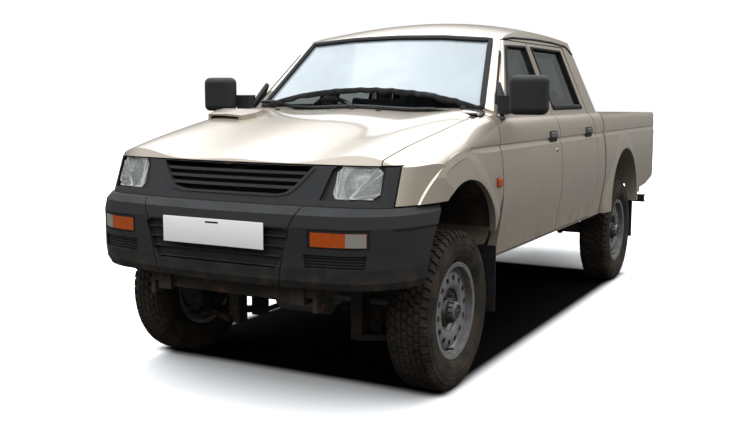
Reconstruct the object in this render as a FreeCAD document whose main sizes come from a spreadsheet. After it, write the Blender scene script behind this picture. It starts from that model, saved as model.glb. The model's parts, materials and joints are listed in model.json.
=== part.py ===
import FreeCAD, Part
import functools
import math
import os
import Sketcher

# Double-cab pickup truck.  X is the truck's left, the front faces -Y, Z is up.
# The origin is on the ground, midway along the overall length.  Lengths are in millimetres.

DIMENSIONS = (
    # whole truck
    ("overall_length", 4935), ("wheelbase", 2955), ("front_overhang", 745), ("half_width", 847),
    # running gear
    ("tyre_radius", 365), ("tyre_half_width", 104), ("tyre_bead_radius", 216), ("tyre_shoulder", 22),
    ("track_front", 1420), ("track_rear", 1435), ("rim_radius", 222), ("rim_half_width", 84),
    ("rim_well_radius", 182), ("rim_gauge", 5), ("disc_face", 44), ("disc_hole_circle", 148),
    ("disc_hole_radius", 12), ("disc_hole_reach", 26), ("disc_holes", 14), ("hub_radius", 54),
    ("hub_nose", 92), ("stud_circle", 69.85), ("stud_radius", 9), ("studs", 6),
    ("spindle_radius", 22), ("running_gap", 0.06), ("brake_radius", 138), ("brake_gauge", 24),
    ("kingpin_x", 600), ("kingpin_radius", 14), ("steer_arm", 155),
    # chassis
    ("rail_outer", 385), ("rail_width", 70), ("rail_depth", 120), ("rail_low", 430), ("rail_kick", 70),
    ("rear_rail_outer", 500),
    # body shell
    ("sill_low", 505), ("belt_height", 1235), ("roof_height", 1780), ("glass_top", 1650),
    ("skin", 20), ("door_gauge", 45), ("rebate_depth", 60), ("cab_wall", 85), ("door_gap", 8),
    ("glass_gauge", 5), ("cab_rear", 2385), ("bed_front", 2420), ("bed_rear", 4050), ("bed_rail", 1205),
    ("bed_wall", 45), ("bed_floor", 700), ("floor_height", 600),
    ("door_front_line", 445), ("door_middle_line", 1425), ("door_rear_line", 2205),
    ("arch_radius", 385), ("arch_centre", 577), ("swage_height", 1088), ("swage_depth", 7),
    # bumper and lamps
    ("bumper_low", 540), ("bumper_top", 883), ("bumper_gauge", 26), ("plate_width", 520), ("plate_height", 111),
)

doc = FreeCAD.newDocument("Pickup")
sheet = doc.addObject("Spreadsheet::Sheet", "Dims")
for row, (alias, value) in enumerate(DIMENSIONS, start=1):
    sheet.set(f"A{row}", alias)
    sheet.set(f"B{row}", str(value))
    sheet.setAlias(f"B{row}", alias)
doc.recompute()


class Size:
    """A length or angle that keeps its value and the sheet expression it comes from."""

    def __init__(self, value, text):
        self.value = float(value)
        self.text = text

    def __float__(self):
        return self.value

    def __neg__(self):
        return Size(-self.value, f"(0 - {self.text})")

    def __add__(self, other):
        return Size(self.value + float(other), f"({self.text} + {text_of(other)})")

    def __radd__(self, other):
        return Size(float(other) + self.value, f"({text_of(other)} + {self.text})")

    def __sub__(self, other):
        return Size(self.value - float(other), f"({self.text} - {text_of(other)})")

    def __rsub__(self, other):
        return Size(float(other) - self.value, f"({text_of(other)} - {self.text})")

    def __mul__(self, other):
        return Size(self.value * float(other), f"({self.text} * {text_of(other)})")

    __rmul__ = __mul__

    def __truediv__(self, other):
        return Size(self.value / float(other), f"({self.text} / {text_of(other)})")


def text_of(item):
    """The expression text of a Size or a plain number."""
    return item.text if isinstance(item, Size) else repr(float(item))


class Dims:
    """The sheet's aliases as Size attributes."""

    def __getattr__(self, alias):
        return Size(float(sheet.get(alias)), f"Dims.{alias}")


D = Dims()

FRONT_AXLE = D.front_overhang - D.overall_length / 2
REAR_AXLE = FRONT_AXLE + D.wheelbase
ZERO = Size(0, "0")
X_AXIS = FreeCAD.Vector(1, 0, 0)
Y_AXIS = FreeCAD.Vector(0, 1, 0)
Z_AXIS = FreeCAD.Vector(0, 0, 1)
FULL_TURN = 360
HALF_TURN = 180
QUARTER_TURN = 90
# how far a cutter reaches past the solid it cuts
OVERRUN = 10
# half the side of a volume that takes in one whole side of the truck
FAR = 3000
NODES = {}


# helpers
def bind(thing, prop, size):
    """Ties one property to the sheet."""
    thing.setExpression(prop, text_of(size))


def place(thing, at, turn=None):
    """Puts an object's base at a point made of sizes, turned about one axis if asked."""
    if turn is not None:
        axis, degrees = turn
        thing.Placement = FreeCAD.Placement(FreeCAD.Vector(), FreeCAD.Rotation(axis, degrees))
    for letter, size in zip("xyz", at):
        bind(thing, f"Placement.Base.{letter}", size)
    return thing


def block(label, low, size):
    """A box from its low corner and its three sizes."""
    box = doc.addObject("Part::Box", label)
    for prop, value in zip(("Length", "Width", "Height"), size):
        bind(box, prop, value)
    return place(box, low)


def rod(label, start, axis, radius, length):
    """A round bar from its start point along a row axis."""
    bar = doc.addObject("Part::Cylinder", label)
    bind(bar, "Radius", radius)
    bind(bar, "Height", length)
    turns = {"x": (Y_AXIS, QUARTER_TURN), "y": (X_AXIS, -QUARTER_TURN), "z": None}
    return place(bar, start, turns[axis])


def fuse(label, pieces):
    """One solid from pieces that overlap."""
    joined = doc.addObject("Part::MultiFuse", label)
    joined.Shapes = pieces
    return joined


def cut(label, base, *tools):
    """A solid less one or more tools."""
    tool = tools[0]
    if len(tools) > 1:
        tool = fuse(label + "_tools", list(tools))
    result = doc.addObject("Part::Cut", label)
    result.Base = base
    result.Tool = tool
    return result


def common(label, *pieces):
    """What the pieces have in common."""
    result = doc.addObject("Part::MultiCommon", label)
    result.Shapes = list(pieces)
    return result


def mirrored(label, source):
    """The same solid on the other side of the truck's middle plane."""
    copy = doc.addObject("Part::Mirroring", label)
    copy.Source = source
    copy.Normal = X_AXIS
    return copy


def both_sides(label, source):
    """A solid and its mirror image in one object."""
    pair = doc.addObject("Part::Compound", label)
    pair.Links = [source, mirrored(label + "_mirror", source)]
    return pair


def formed(label, shape):
    """An object whose shape is made by the shape functions below."""
    thing = doc.addObject("Part::Feature", label)
    thing.Shape = shape
    return thing


def origin_feature(body, role):
    """One of a body's own planes or axes."""
    return next(item for item in body.Origin.OriginFeatures if item.Role == role)


def draw(body, plane, corners, offset=ZERO):
    """A closed outline of straight lines in a body, each corner tied to the sheet."""
    sketch = body.newObject("Sketcher::SketchObject", body.Name + "_outline")
    sketch.AttachmentSupport = [(origin_feature(body, plane), "")]
    sketch.MapMode = "FlatFace"
    bind(sketch, "AttachmentOffset.Base.z", offset)
    points = [FreeCAD.Vector(float(across), float(up), 0) for across, up in corners]
    count = len(points)
    for index in range(count):
        line = Part.LineSegment(points[index], points[(index + 1) % count])
        sketch.addGeometry(line, False)
    for index in range(count):
        sketch.addConstraint(Sketcher.Constraint("Coincident", index, 2, (index + 1) % count, 1))
    for index, corner in enumerate(corners):
        for kind, size in zip(("DistanceX", "DistanceY"), corner):
            number = sketch.addConstraint(Sketcher.Constraint(kind, -1, 1, index, 1, float(size)))
            sketch.setExpression(f"Constraints[{number}]", text_of(size))
    return sketch


def padded(label, plane, corners, low, depth):
    """A body with one pad: the outline in a plane, from a low coordinate along its normal."""
    body = doc.addObject("PartDesign::Body", label)
    # the XZ plane's normal points to -Y, so its offset is the high end's, with the sign changed
    offset = -(low + depth) if plane == "XZ_Plane" else low
    sketch = draw(body, plane, corners, offset)
    pad = body.newObject("PartDesign::Pad", label + "_pad")
    pad.Profile = sketch
    bind(pad, "Length", depth)
    body.Tip = pad
    return body


def turned(label, corners):
    """A body of revolution about X: corners are (x, radius) pairs."""
    body = doc.addObject("PartDesign::Body", label)
    sketch = draw(body, "XZ_Plane", corners)
    spin = body.newObject("PartDesign::Revolution", label + "_spin")
    spin.Profile = sketch
    spin.ReferenceAxis = (sketch, ["H_Axis"])
    spin.Angle = FULL_TURN
    body.Tip = spin
    return body


def node(name, thing):
    """Names the object that is handed over as one sub-part."""
    thing.Label = name
    NODES[name] = thing
    return thing


# free-form volumes
# Half-sections of the body side as (x less half width, height), from the sill up to the swage.
LOWER_SIDE = ((-41, 545), (-29, 620), (-13, 715), (-1, 820), (0, 880), (-5, 970), (-20, 1075))
# Stations along the bonnet: distance from the front axle, height of the swage, shoulder x and
# height, and height of the crown in the middle.
NOSE = (
    (-720, 850, 700, 995, 1012),
    (-560, 905, 706, 1050, 1068),
    (-300, 985, 722, 1112, 1140),
    (0, 1060, 748, 1168, 1204),
    (450, 1095, 782, 1232, 1264),
)
# The nose's outline from above at the bumper's height, as (x, distance from the front axle).
NOSE_PLAN = ((0, -642), (300, -632), (500, -610), (690, -566), (756, -500), (800, -400), (836, -230),
             (849, -60))
NOSE_RAKE = 0.4
NOSE_PLAN_HEIGHT = 905
# The greenhouse outline at the belt and at the top of the glass: points (x, distance from the
# front axle) of the middle of the screen, its corner, the side's front, its rear, the back's corner.
BELT_OUTLINE = ((0, 425), (735, 580), (772, 640), (780, 2345), (735, 2385))
TOP_OUTLINE = ((0, 965), (588, 1004), (608, 1040), (640, 2170), (600, 2208))
# Stations along the roof: distance from the front axle, crown height, and drop at the drip rail.
ROOF = ((600, 1505, 40), (965, 1668, 42), (1200, 1734, 60), (1500, 1771, 80), (1750, 1780, 92),
        (2050, 1764, 88), (2450, 1690, 72))
DRIP_X = 640
# how far a volume that is inset at its sides only runs past the cab's ends
END_REACH = 300
ROOF_GAUGE = 30


def vector(x, y, z):
    """A point whose y is counted from the front axle."""
    return FreeCAD.Vector(x, float(FRONT_AXLE) + y, z)


def curve(points):
    """A smooth edge through points."""
    spline = Part.BSplineCurve()
    spline.interpolate(points)
    return spline.toShape()


def line(start, end):
    """A straight edge."""
    return Part.LineSegment(start, end).toShape()


def arc(start, middle, end):
    """An arc through three points."""
    return Part.Arc(start, middle, end).toShape()


def inset_outline(half, inset):
    """Half of an outline from above, moved inwards along its own normals."""
    moved = []
    for index, (x, y) in enumerate(half):
        before = half[index - 1] if index else (-half[1][0], half[1][1])
        after = half[min(index + 1, len(half) - 1)]
        along = FreeCAD.Vector(after[0] - before[0], after[1] - before[1], 0).normalize()
        moved.append((x - along.y * inset, y + along.x * inset))
    return moved


def plan_curve(half, inset, height):
    """A smooth symmetric front outline at one height, from its right half."""
    points = [FreeCAD.Vector(x, float(FRONT_AXLE) + y, height) for x, y in inset_outline(half, inset)]
    ring = [FreeCAD.Vector(-p.x, p.y, height) for p in reversed(points)] + points[1:]
    return curve(ring)


def body_section(y, swage, shoulder_x, shoulder, crown, inset):
    """One closed cross-section of the lower body, inset all round."""
    half = float(D.half_width) - inset
    lift = swage - LOWER_SIDE[-1][1]
    # the side's shape is kept and only its upper half follows the swage down the nose
    right = []
    for step, (inward, height) in enumerate(LOWER_SIDE):
        share = step / (len(LOWER_SIDE) - 1)
        right.append(vector(half + inward, y, height + lift * share))
    right[0].z += inset
    swage_x = right[-1].x
    swage_z = right[-1].z
    rise = shoulder - swage
    above = [
        vector(swage_x, y, swage_z),
        vector(swage_x - 4, y, swage_z + rise * 0.4),
        vector(shoulder_x + 16 - inset, y, shoulder - rise * 0.16 - inset * 0.7),
        vector(shoulder_x - 22 - inset, y, shoulder + 2 - inset),
        vector(shoulder_x * 0.55, y, shoulder + (crown - shoulder) * 0.72 - inset),
        vector(0, y, crown - inset),
    ]
    left = [FreeCAD.Vector(-point.x, point.y, point.z) for point in reversed(right)]
    over = above + [FreeCAD.Vector(-point.x, point.y, point.z) for point in reversed(above[:-1])]
    edges = [line(left[-1], right[0]), curve(right), curve(over), curve(left)]
    return Part.Wire(edges)


@functools.lru_cache(maxsize=None)
def nose_volume(inset):
    """The body ahead of the doors: lofted stations trimmed to the outline from above."""
    stations = [body_section(*row, inset) for row in NOSE]
    lofted = Part.makeLoft(stations, True, False)
    front = plan_curve(NOSE_PLAN, inset, 0)
    back = float(FRONT_AXLE) + NOSE[-1][0] + OVERRUN
    start = front.Vertexes[-1].Point
    end = front.Vertexes[0].Point
    rear_right = FreeCAD.Vector(start.x, back, 0)
    rear_left = FreeCAD.Vector(end.x, back, 0)
    plan = Part.Wire([front, line(start, rear_right), line(rear_right, rear_left), line(rear_left, end)])
    face = Part.Face(plan)
    height = float(D.roof_height)
    face.translate(FreeCAD.Vector(0, -NOSE_PLAN_HEIGHT * NOSE_RAKE, 0))
    prism = face.extrude(FreeCAD.Vector(0, height * NOSE_RAKE, height))
    return lofted.common(prism)


def side_prism(start, end, inset):
    """The constant body section between two distances from the front axle."""
    row = (start,) + NOSE[-1][1:]
    face = Part.Face(body_section(*row, inset))
    return face.extrude(FreeCAD.Vector(0, end - start, 0))


def outline_at(height, inset, ends):
    """The greenhouse's closed outline at one height, inset all round or at its sides only."""
    belt = float(D.belt_height)
    share = (height - belt) / (float(D.glass_top) - belt)
    points = []
    for (x0, y0), (x1, y1) in zip(BELT_OUTLINE, TOP_OUTLINE):
        points.append([x0 + (x1 - x0) * share, y0 + (y1 - y0) * share])
    middle, corner, side_front, side_rear, back = points
    for point in (corner, side_front, side_rear, back):
        point[0] -= inset
    if not ends:
        corner[0] = side_front[0]
        back[0] = side_rear[0]
    for point in (middle, corner, side_front):
        point[1] += inset if ends else -END_REACH
    for point in (side_rear, back):
        point[1] -= inset if ends else -END_REACH

    def at(point, side=1):
        return vector(side * point[0], point[1], height)

    edges = [
        arc(at(corner, -1), at(middle), at(corner)),
        line(at(corner), at(side_front)),
        line(at(side_front), at(side_rear)),
        line(at(side_rear), at(back)),
        line(at(back), at(back, -1)),
        line(at(back, -1), at(side_rear, -1)),
        line(at(side_rear, -1), at(side_front, -1)),
        line(at(side_front, -1), at(corner, -1)),
    ]
    return Part.Wire(edges)


def roof_volume(inset):
    """Everything below the roof panel."""
    far = float(D.half_width) + OVERRUN
    low = float(D.sill_low)
    wires = []
    for y, crown, drop in ROOF:
        edge = crown - drop * (far / DRIP_X) ** 2 - inset
        corners = [vector(-far, y, low), vector(far, y, low), vector(far, y, edge), vector(-far, y, edge)]
        wires.append(Part.Wire([
            line(corners[0], corners[1]),
            line(corners[1], corners[2]),
            arc(corners[2], vector(0, y, crown - inset), corners[3]),
            line(corners[3], corners[0]),
        ]))
    return Part.makeLoft(wires, True, False)


@functools.lru_cache(maxsize=None)
def greenhouse_volume(inset, ends=True):
    """The cab above the belt."""
    low = float(D.belt_height) - 150
    high = float(D.roof_height) + OVERRUN
    frustum = Part.makeLoft([outline_at(low, inset, ends), outline_at(high, inset, ends)], True, True)
    if not ends:
        return frustum
    start = NOSE[-1][0] + inset
    reach = float(D.cab_rear) - inset - start
    wide = float(D.half_width)
    zone = Part.makeBox(2 * wide, reach, high, vector(-wide, start, 0))
    return frustum.common(zone).common(roof_volume(min(inset, ROOF_GAUGE)))


def cab_volume(inset, ends=True):
    """The whole cab, lower body and greenhouse, inset all round or at its sides only."""
    start = NOSE[-1][0]
    reach = inset if ends else -END_REACH
    lower = side_prism(start + reach, float(D.cab_rear) - reach, inset)
    return lower.fuse(greenhouse_volume(inset, ends))


def yz_prism(points, low_x, high_x):
    """A prism across the truck from (distance from the front axle, height) pairs."""
    ring = [vector(low_x, y, z) for y, z in points]
    face = Part.Face(Part.makePolygon(ring + [ring[0]]))
    return face.extrude(FreeCAD.Vector(high_x - low_x, 0, 0))


def yz_offset(points, amount):
    """An outline of (y, z) pairs grown or shrunk by an amount."""
    ring = [FreeCAD.Vector(0, y, z) for y, z in points]
    wire = Part.makePolygon(ring + [ring[0]])
    grown = wire.makeOffset2D(amount, 2) if amount else wire
    return [(vertex.Point.y, vertex.Point.z) for vertex in grown.OrderedVertexes]


def shape_box(x0, x1, y0, y1, z0, z1):
    """A plain box between limits, y counted from the front axle."""
    low = vector(x0, y0, z0)
    return Part.makeBox(x1 - x0, y1 - y0, z1 - z0, low)


def mirror_shape(shape):
    """The same shape on the truck's other side."""
    return shape.mirror(FreeCAD.Vector(), X_AXIS)


def arch_cutter(axle_y, low_x, high_x, grow=0):
    """The wheel opening: round at the top and straight down from there."""
    radius = float(D.arch_radius) + grow
    centre = float(D.arch_centre)
    drum = Part.makeCylinder(radius, high_x - low_x, vector(low_x, axle_y, centre), X_AXIS)
    leg = shape_box(low_x, high_x, axle_y - radius, axle_y + radius, 0, centre)
    return drum.fuse(leg)


# flare and swage
# The flare's section as (x less half width, radius about the arch's centre).
FLARE = ((6, 0), (6, 14), (2, 44), (-6, 84), (-20, 128), (-60, 140), (-60, 0))
FLARE_RISE = 9
SWAGE_NOTCH = ((6, 16), (-9, 6), (6, -22))


def flare_ring(axle_y, skirt):
    """The raised band round a left wheel arch, no prouder than a set rise over the skin."""
    radius = float(D.arch_radius)
    centre = float(D.arch_centre)
    half = float(D.half_width)
    points = [vector(half + out, axle_y, centre + radius + grow) for out, grow in FLARE]
    face = Part.Face(Part.makePolygon(points + [points[0]]))
    ring = face.revolve(vector(0, axle_y, centre), X_AXIS, FULL_TURN)
    return ring.common(skirt)


def swage_notch(low_y, high_y):
    """The groove pressed along a body side."""
    side_x = float(D.half_width) + LOWER_SIDE[-1][0]
    height = float(D.swage_height)
    points = [vector(side_x + out, low_y, height + up) for out, up in SWAGE_NOTCH]
    face = Part.Face(Part.makePolygon(points + [points[0]]))
    notch = face.extrude(FreeCAD.Vector(0, high_y - low_y, 0))
    return notch.fuse(mirror_shape(notch))


# doors and windows
def door_rings():
    """Outlines of the doors and their glass as (distance from the front axle, height) pairs."""
    gap = float(D.door_gap)
    low = float(D.sill_low) + 52
    front = float(D.door_front_line)
    middle = float(D.door_middle_line)
    rear = float(D.door_rear_line)
    front_door = [(front, low), (middle - gap, low), (middle - gap, 1130), (middle - 22, 1250),
                  (middle - 66, 1632), (1010, 1632), (694, 1300), (610, 1236), (front, 1170)]
    rear_door = [(middle, low), (rear - 40, low), (rear, 640), (rear, 1060), (rear - 64, 1200),
                 (rear - 204, 1632), (middle - 52, 1632), (middle - 12, 1250), (middle, 1130)]
    front_opening = front_door[:1] + [(middle - gap, low), (middle - gap, 1130), (middle - 16, 1250),
                                      (middle - 60, 1632)] + front_door[5:]
    rear_opening = rear_door[:4] + [(rear - 58, 1200), (rear - 188, 1632)] + rear_door[6:]
    front_glass = [(704, 1256), (1018, 1598), (middle - 100, 1606), (middle - 68, 1256)]
    rear_glass = [(middle + 30, 1256), (middle - 6, 1606), (rear - 250, 1606), (rear - 175, 1256)]
    return front_door, rear_door, front_opening, rear_opening, front_glass, rear_glass


FRONT_DOOR, REAR_DOOR, FRONT_OPENING, REAR_OPENING, FRONT_GLASS, REAR_GLASS = door_rings()
DOOR_CLEAR = 6
LOW_SIDE_X = 380
HIGH_SIDE_X = 900

SWAGE = swage_notch(60, 2 * FAR)
cab_outer = cab_volume(0).cut(SWAGE)
cab_inner = cab_volume(float(D.cab_wall))
door_inner = cab_volume(float(D.door_gauge), False)
rebate_inner = cab_volume(float(D.rebate_depth), False)
door_skin = cab_outer.cut(door_inner)
rebate_skin = cab_outer.cut(rebate_inner)

shell = cab_outer.cut(cab_inner)
sill_box = shape_box(-740, 740, 0, FAR, 0, 660)
door_floor = shape_box(-765, 765, 0, FAR, 0, 660)
for opening_ring in (FRONT_OPENING, REAR_OPENING):
    opening = yz_prism(yz_offset(opening_ring, DOOR_CLEAR), LOW_SIDE_X, HIGH_SIDE_X).cut(sill_box)
    aperture = yz_prism(yz_offset(opening_ring, -38), LOW_SIDE_X, HIGH_SIDE_X).cut(sill_box)
    tool = rebate_skin.common(opening).fuse(aperture)
    shell = shell.cut(tool.fuse(mirror_shape(tool)))


HINGE_X = 836
HINGE_BACK = 22
HINGE_HEIGHTS = (835, 950)
HINGE_PIN_RADIUS = 5
HINGE_PIN_HALF = 31
HINGE_PLATE_HALF = 12
HINGE_NOTCH_HALF = 23


def door_panel(ring, glass):
    """A left door: the cab's skin inside the door's outline, with the window and hinge seats cut out."""
    panel = door_skin.common(yz_prism(ring, LOW_SIDE_X, HIGH_SIDE_X))
    edge = ring[0][0]
    seats = []
    for height in HINGE_HEIGHTS:
        seats.append(shape_box(LOW_SIDE_X, HINGE_X + HINGE_PIN_RADIUS + 0.5, edge - 1, edge + 2 * HINGE_BACK + 3,
                               height - HINGE_NOTCH_HALF, height + HINGE_NOTCH_HALF))
        seats.append(Part.makeCylinder(HINGE_PIN_RADIUS + D.running_gap.value, 2 * HINGE_PIN_HALF + 2,
                                       vector(HINGE_X, edge + HINGE_BACK, height - HINGE_PIN_HALF - 1), Z_AXIS))
    return panel.cut([yz_prism(glass, LOW_SIDE_X, HIGH_SIDE_X).fuse(door_floor)] + seats)


def door_hinges(edge):
    """The left hinge plates and pins that a door with this front edge turns on."""
    pieces = []
    for height in HINGE_HEIGHTS:
        axis_y = edge + HINGE_BACK
        plate = shape_box(HINGE_X - 66, HINGE_X, axis_y - 6, axis_y + 6, height - HINGE_PLATE_HALF,
                          height + HINGE_PLATE_HALF)
        pin = Part.makeCylinder(HINGE_PIN_RADIUS, 2 * HINGE_PIN_HALF,
                                vector(HINGE_X, axis_y, height - HINGE_PIN_HALF), Z_AXIS)
        pieces += [plate, pin]
    return pieces


def pane(ring, depth, gauge):
    """A left side window: a thin layer of the cab's side inside the window's outline."""
    layer = cab_volume(depth, False).cut(cab_volume(depth + gauge, False))
    return layer.common(yz_prism(ring, LOW_SIDE_X, HIGH_SIDE_X))


hinges = door_hinges(FRONT_DOOR[0][0]) + door_hinges(REAR_DOOR[0][0])
shell = shell.fuse(hinges + [mirror_shape(piece) for piece in hinges])
front_door = formed("front_door_form", door_panel(FRONT_DOOR, FRONT_GLASS))
rear_door = formed("rear_door_form", door_panel(REAR_DOOR, REAR_GLASS))
glass_gauge = float(D.glass_gauge)
front_pane = formed("front_pane_form", pane(FRONT_GLASS, 14, glass_gauge))
rear_pane = formed("rear_pane_form", pane(REAR_GLASS, 14, glass_gauge))

# cab shell and fixed glass
SCREEN = ((-668, 1268), (668, 1268), (560, 1630), (280, 1651), (0, 1657), (-280, 1651), (-560, 1630))
BACK_LIGHT = ((-600, 1290), (600, 1290), (520, 1600), (-520, 1600))
BONNET_RING = ((-664, -800), (664, -800), (688, -300), (710, 0), (722, 270), (706, 345), (640, 388),
               (320, 400), (0, 403), (-320, 400), (-640, 388), (-706, 345), (-722, 270), (-710, 0),
               (-688, -300))
FRONT_FACE_TOP = 1050
FRONT_FACE_LOW = 890
FRONT_FACE_X = 746
# how far curved faces that seat on each other stay apart
SEAT_GAP = 0.7
SEAM = 5


def xz_prism(points, low_y, high_y):
    """A prism along the truck from (x, height) pairs, its ends counted from the front axle."""
    ring = [vector(x, low_y, z) for x, z in points]
    face = Part.Face(Part.makePolygon(ring + [ring[0]]))
    return face.extrude(FreeCAD.Vector(0, high_y - low_y, 0))


def xy_prism(points, low_z, high_z):
    """An upright prism from (x, distance from the front axle) pairs."""
    ring = [vector(x, y, low_z) for x, y in points]
    face = Part.Face(Part.makePolygon(ring + [ring[0]]))
    return face.extrude(FreeCAD.Vector(0, 0, high_z - low_z))


def xy_offset(points, amount):
    """A closed outline of (x, y) pairs grown by an amount."""
    ring = [FreeCAD.Vector(x, y, 0) for x, y in points]
    wire = Part.makePolygon(ring + [ring[0]]).makeOffset2D(amount, 2)
    return [(vertex.Point.x, vertex.Point.y) for vertex in wire.OrderedVertexes]


bonnet_gauge = 22
nose_outer = nose_volume(0)
nose_inner = nose_volume(bonnet_gauge)
nose_skin = nose_outer.cut(nose_inner)
bonnet_prism = xy_prism(BONNET_RING, FRONT_FACE_TOP, D.roof_height.value)
bonnet_opening = xy_prism(xy_offset(BONNET_RING, SEAM), 0, D.roof_height.value)
scoop_plan = ((-640, 60), (-430, 60), (-400, 150), (-440, 330), (-630, 330), (-665, 150))
scoop = xy_prism(scoop_plan, 1000, 1500).common(nose_volume(-24)).cut(nose_volume(2))
scoop_slope = yz_prism(((-40, 1160), (90, 1260), (200, 1262), (420, 1230), (420, 1500), (-40, 1500)), -700, -380)
scoop = scoop.cut(scoop_slope)
scoop_mouth = xy_prism(((-622, 50), (-448, 50), (-438, 150), (-632, 150)), 1000, 1500)
scoop_mouth = scoop_mouth.common(nose_volume(-15)).cut(nose_volume(-2))
bonnet = nose_skin.common(bonnet_prism).fuse(scoop).cut(scoop_mouth)
bonnet_form = formed("bonnet_form", bonnet)

cowl_half = 737
cowl_box = shape_box(-cowl_half, cowl_half, 370, NOSE[-1][0], 1100, D.roof_height.value)
cowl = nose_skin.common(cowl_box).cut(bonnet_opening)
wing_zone = shape_box(-FAR, FAR, -FAR, D.door_front_line.value - SEAM, 0, FAR)
wing_skin = nose_skin.common(wing_zone).cut(bonnet_opening)
wing_skin = wing_skin.cut(shape_box(-cowl_half - SEAM, cowl_half + SEAM, 300, 600, 0, FAR))
wing_skin = wing_skin.cut(arch_cutter(0, -FAR, FAR))
front_cut = shape_box(-FRONT_FACE_X, FRONT_FACE_X, -FAR, -430, 0, FRONT_FACE_TOP + 2)
wing_skin = wing_skin.cut(front_cut).cut(shape_box(-FAR, FAR, -FAR, -200, 0, FRONT_FACE_LOW))
wing_skin = wing_skin.cut(shape_box(-600, 600, -FAR, FAR, 0, 1000))
flare_zone = nose_volume(-FLARE_RISE).cut(shape_box(-FAR, FAR, -FAR, -505, 0, FAR)).cut(
    shape_box(-FAR, FAR, D.door_front_line.value - SEAM, FAR, 0, FAR)).cut(
    shape_box(-FAR, FAR, -FAR, -200, 0, FRONT_FACE_LOW)).cut(shape_box(-FAR, FAR, -FAR, FAR, 0, 545))
flare = flare_ring(0, flare_zone).cut(nose_inner)
wing_skin = wing_skin.cut(SWAGE).fuse([flare, mirror_shape(flare)])
wings = [solid for solid in wing_skin.Solids if solid.Volume > 1e5]
wing_form = formed("wing_form", Part.makeCompound(wings))

screen_prism = xz_prism(SCREEN, 350, 1100)
back_prism = xz_prism(BACK_LIGHT, 2100, 2500)
shell = shell.cut(screen_prism).cut(back_prism).fuse(cowl)
cab_form = formed("cab_form", max(shell.Solids, key=lambda solid: solid.Volume))
green_out = greenhouse_volume(9)
green_in = greenhouse_volume(9 + glass_gauge)
screen_glass = green_out.cut(green_in)
screens = [screen_glass.common(screen_prism), screen_glass.common(back_prism)]
screen_form = formed("screen_form", Part.makeCompound(screens))

# front panel, lamps and bumper
LAMP_RING = ((500, 930), (514, 916), (672, 916), (686, 930), (686, 1026), (672, 1040), (514, 1040), (500, 1026))
LAMP_HOOD = ((446, 908), (694, 908), (698, 930), (698, 1045), (500, 1045), (480, 1030))
GRILLE_RING = ((-240, 924), (240, 924), (292, 934), (326, 960), (392, 1042), (-392, 1042), (-326, 960), (-292, 934))
GRILLE_RIM = 7
# Right half of the bumper from above: the front's middle, then the ends and middles of its arcs.
BUMPER_PLAN = ((0, -745), (520, -702), (712, -622), (812, -470), (836, -370), (848, -250))
INDICATOR = ((462, 733), (682, 733), (682, 790), (462, 790))


def bumper_ring(inset, height):
    """The bumper's closed outline from above at one height, drawn in five arcs."""
    middle, *right = [vector(x, y, height) for x, y in inset_outline(BUMPER_PLAN, inset)]
    corner, bend, turn, side, end = right
    left = [FreeCAD.Vector(-point.x, point.y, point.z) for point in right]
    return Part.Wire([
        arc(left[4], left[3], left[2]), arc(left[2], left[1], left[0]), arc(left[0], middle, corner),
        arc(corner, bend, turn), arc(turn, side, end), line(end, left[4]),
    ])


def bumper_volume(inset, low, high):
    """The bumper's outline from above, inset and raised between two heights."""
    return Part.Face(bumper_ring(inset, low)).extrude(FreeCAD.Vector(0, 0, high - low))


# The bumper's section as (inset, share of its height), from its lower edge to its top.
BUMPER_SECTION_SHARE = ((58, 0.0), (22, 0.05), (6, 0.14), (0, 0.30), (0, 0.78), (10, 0.92), (34, 1.0))
BUMPER_OPENING = ((372, 786), (330, 668), (300, 632), (-300, 632), (-330, 668), (-372, 786), (-340, 800),
                  (340, 800))
BUMPER_SEAM = ((404, 890), (360, 800), (328, 640), (304, 530))
FOG_RECESS = ((440, 646), (676, 646), (684, 700), (432, 700))
LAMP_RECESS = ((448, 722), (694, 722), (694, 802), (448, 802))


def bumper_body(inset):
    """The bumper's rounded outside, inset all round."""
    low = D.bumper_low.value + inset
    high = D.bumper_top.value - inset
    wires = [bumper_ring(section_inset + inset, low + (high - low) * share)
             for section_inset, share in BUMPER_SECTION_SHARE]
    return Part.makeLoft(wires, True, True)


def bumper_recess(points, depth):
    """A pocket of even depth in the bumper's face, on both sides."""
    prism = xz_prism(points, -820, -380)
    pocket = prism.cut(bumper_volume(depth, 500, FAR))
    return pocket.fuse(mirror_shape(pocket))


bumper_reach = bumper_body(-SEAM)
panel_skin = nose_outer.cut(nose_volume(45))
panel_low = D.bumper_top.value + 2
panel_box = shape_box(-FRONT_FACE_X + SEAM, FRONT_FACE_X - SEAM, -FAR, -430, panel_low, FRONT_FACE_TOP - 6)
panel = panel_skin.common(panel_box)
lamp_prism = xz_prism(LAMP_RING, -800, -300)
lamp_prisms = lamp_prism.fuse(mirror_shape(lamp_prism))
grille_prism = xz_prism(GRILLE_RING, -800, -300)
lens_skin = nose_volume(12).cut(nose_volume(45))
lens = lens_skin.common(lamp_prism)
hood = xz_prism(LAMP_HOOD, -820, -300).cut(nose_volume(16))
panel = panel.cut(hood.fuse(mirror_shape(hood)))
rim_ring = xz_prism([(x * 1.035, z - GRILLE_RIM) for x, z in GRILLE_RING], -820, -300)
rim = rim_ring.cut(grille_prism).common(nose_volume(-4)).cut(nose_volume(30)).common(panel_box)
panel = panel.fuse(rim).cut(lamp_prisms).cut(grille_prism)
slat_skin = nose_volume(10).cut(nose_volume(44))
for centre in (950, 979, 1008):
    blade = yz_prism(((-800, centre - 22), (-400, centre - 2), (-400, centre + 6), (-800, centre - 8)), -420, 420)
    blade.translate(FreeCAD.Vector(0, 0, 9))
    panel = panel.fuse(slat_skin.common(blade).common(grille_prism))
panel_form = formed("panel_form", panel)
bay = nose_volume(45 + SEAT_GAP)
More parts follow.
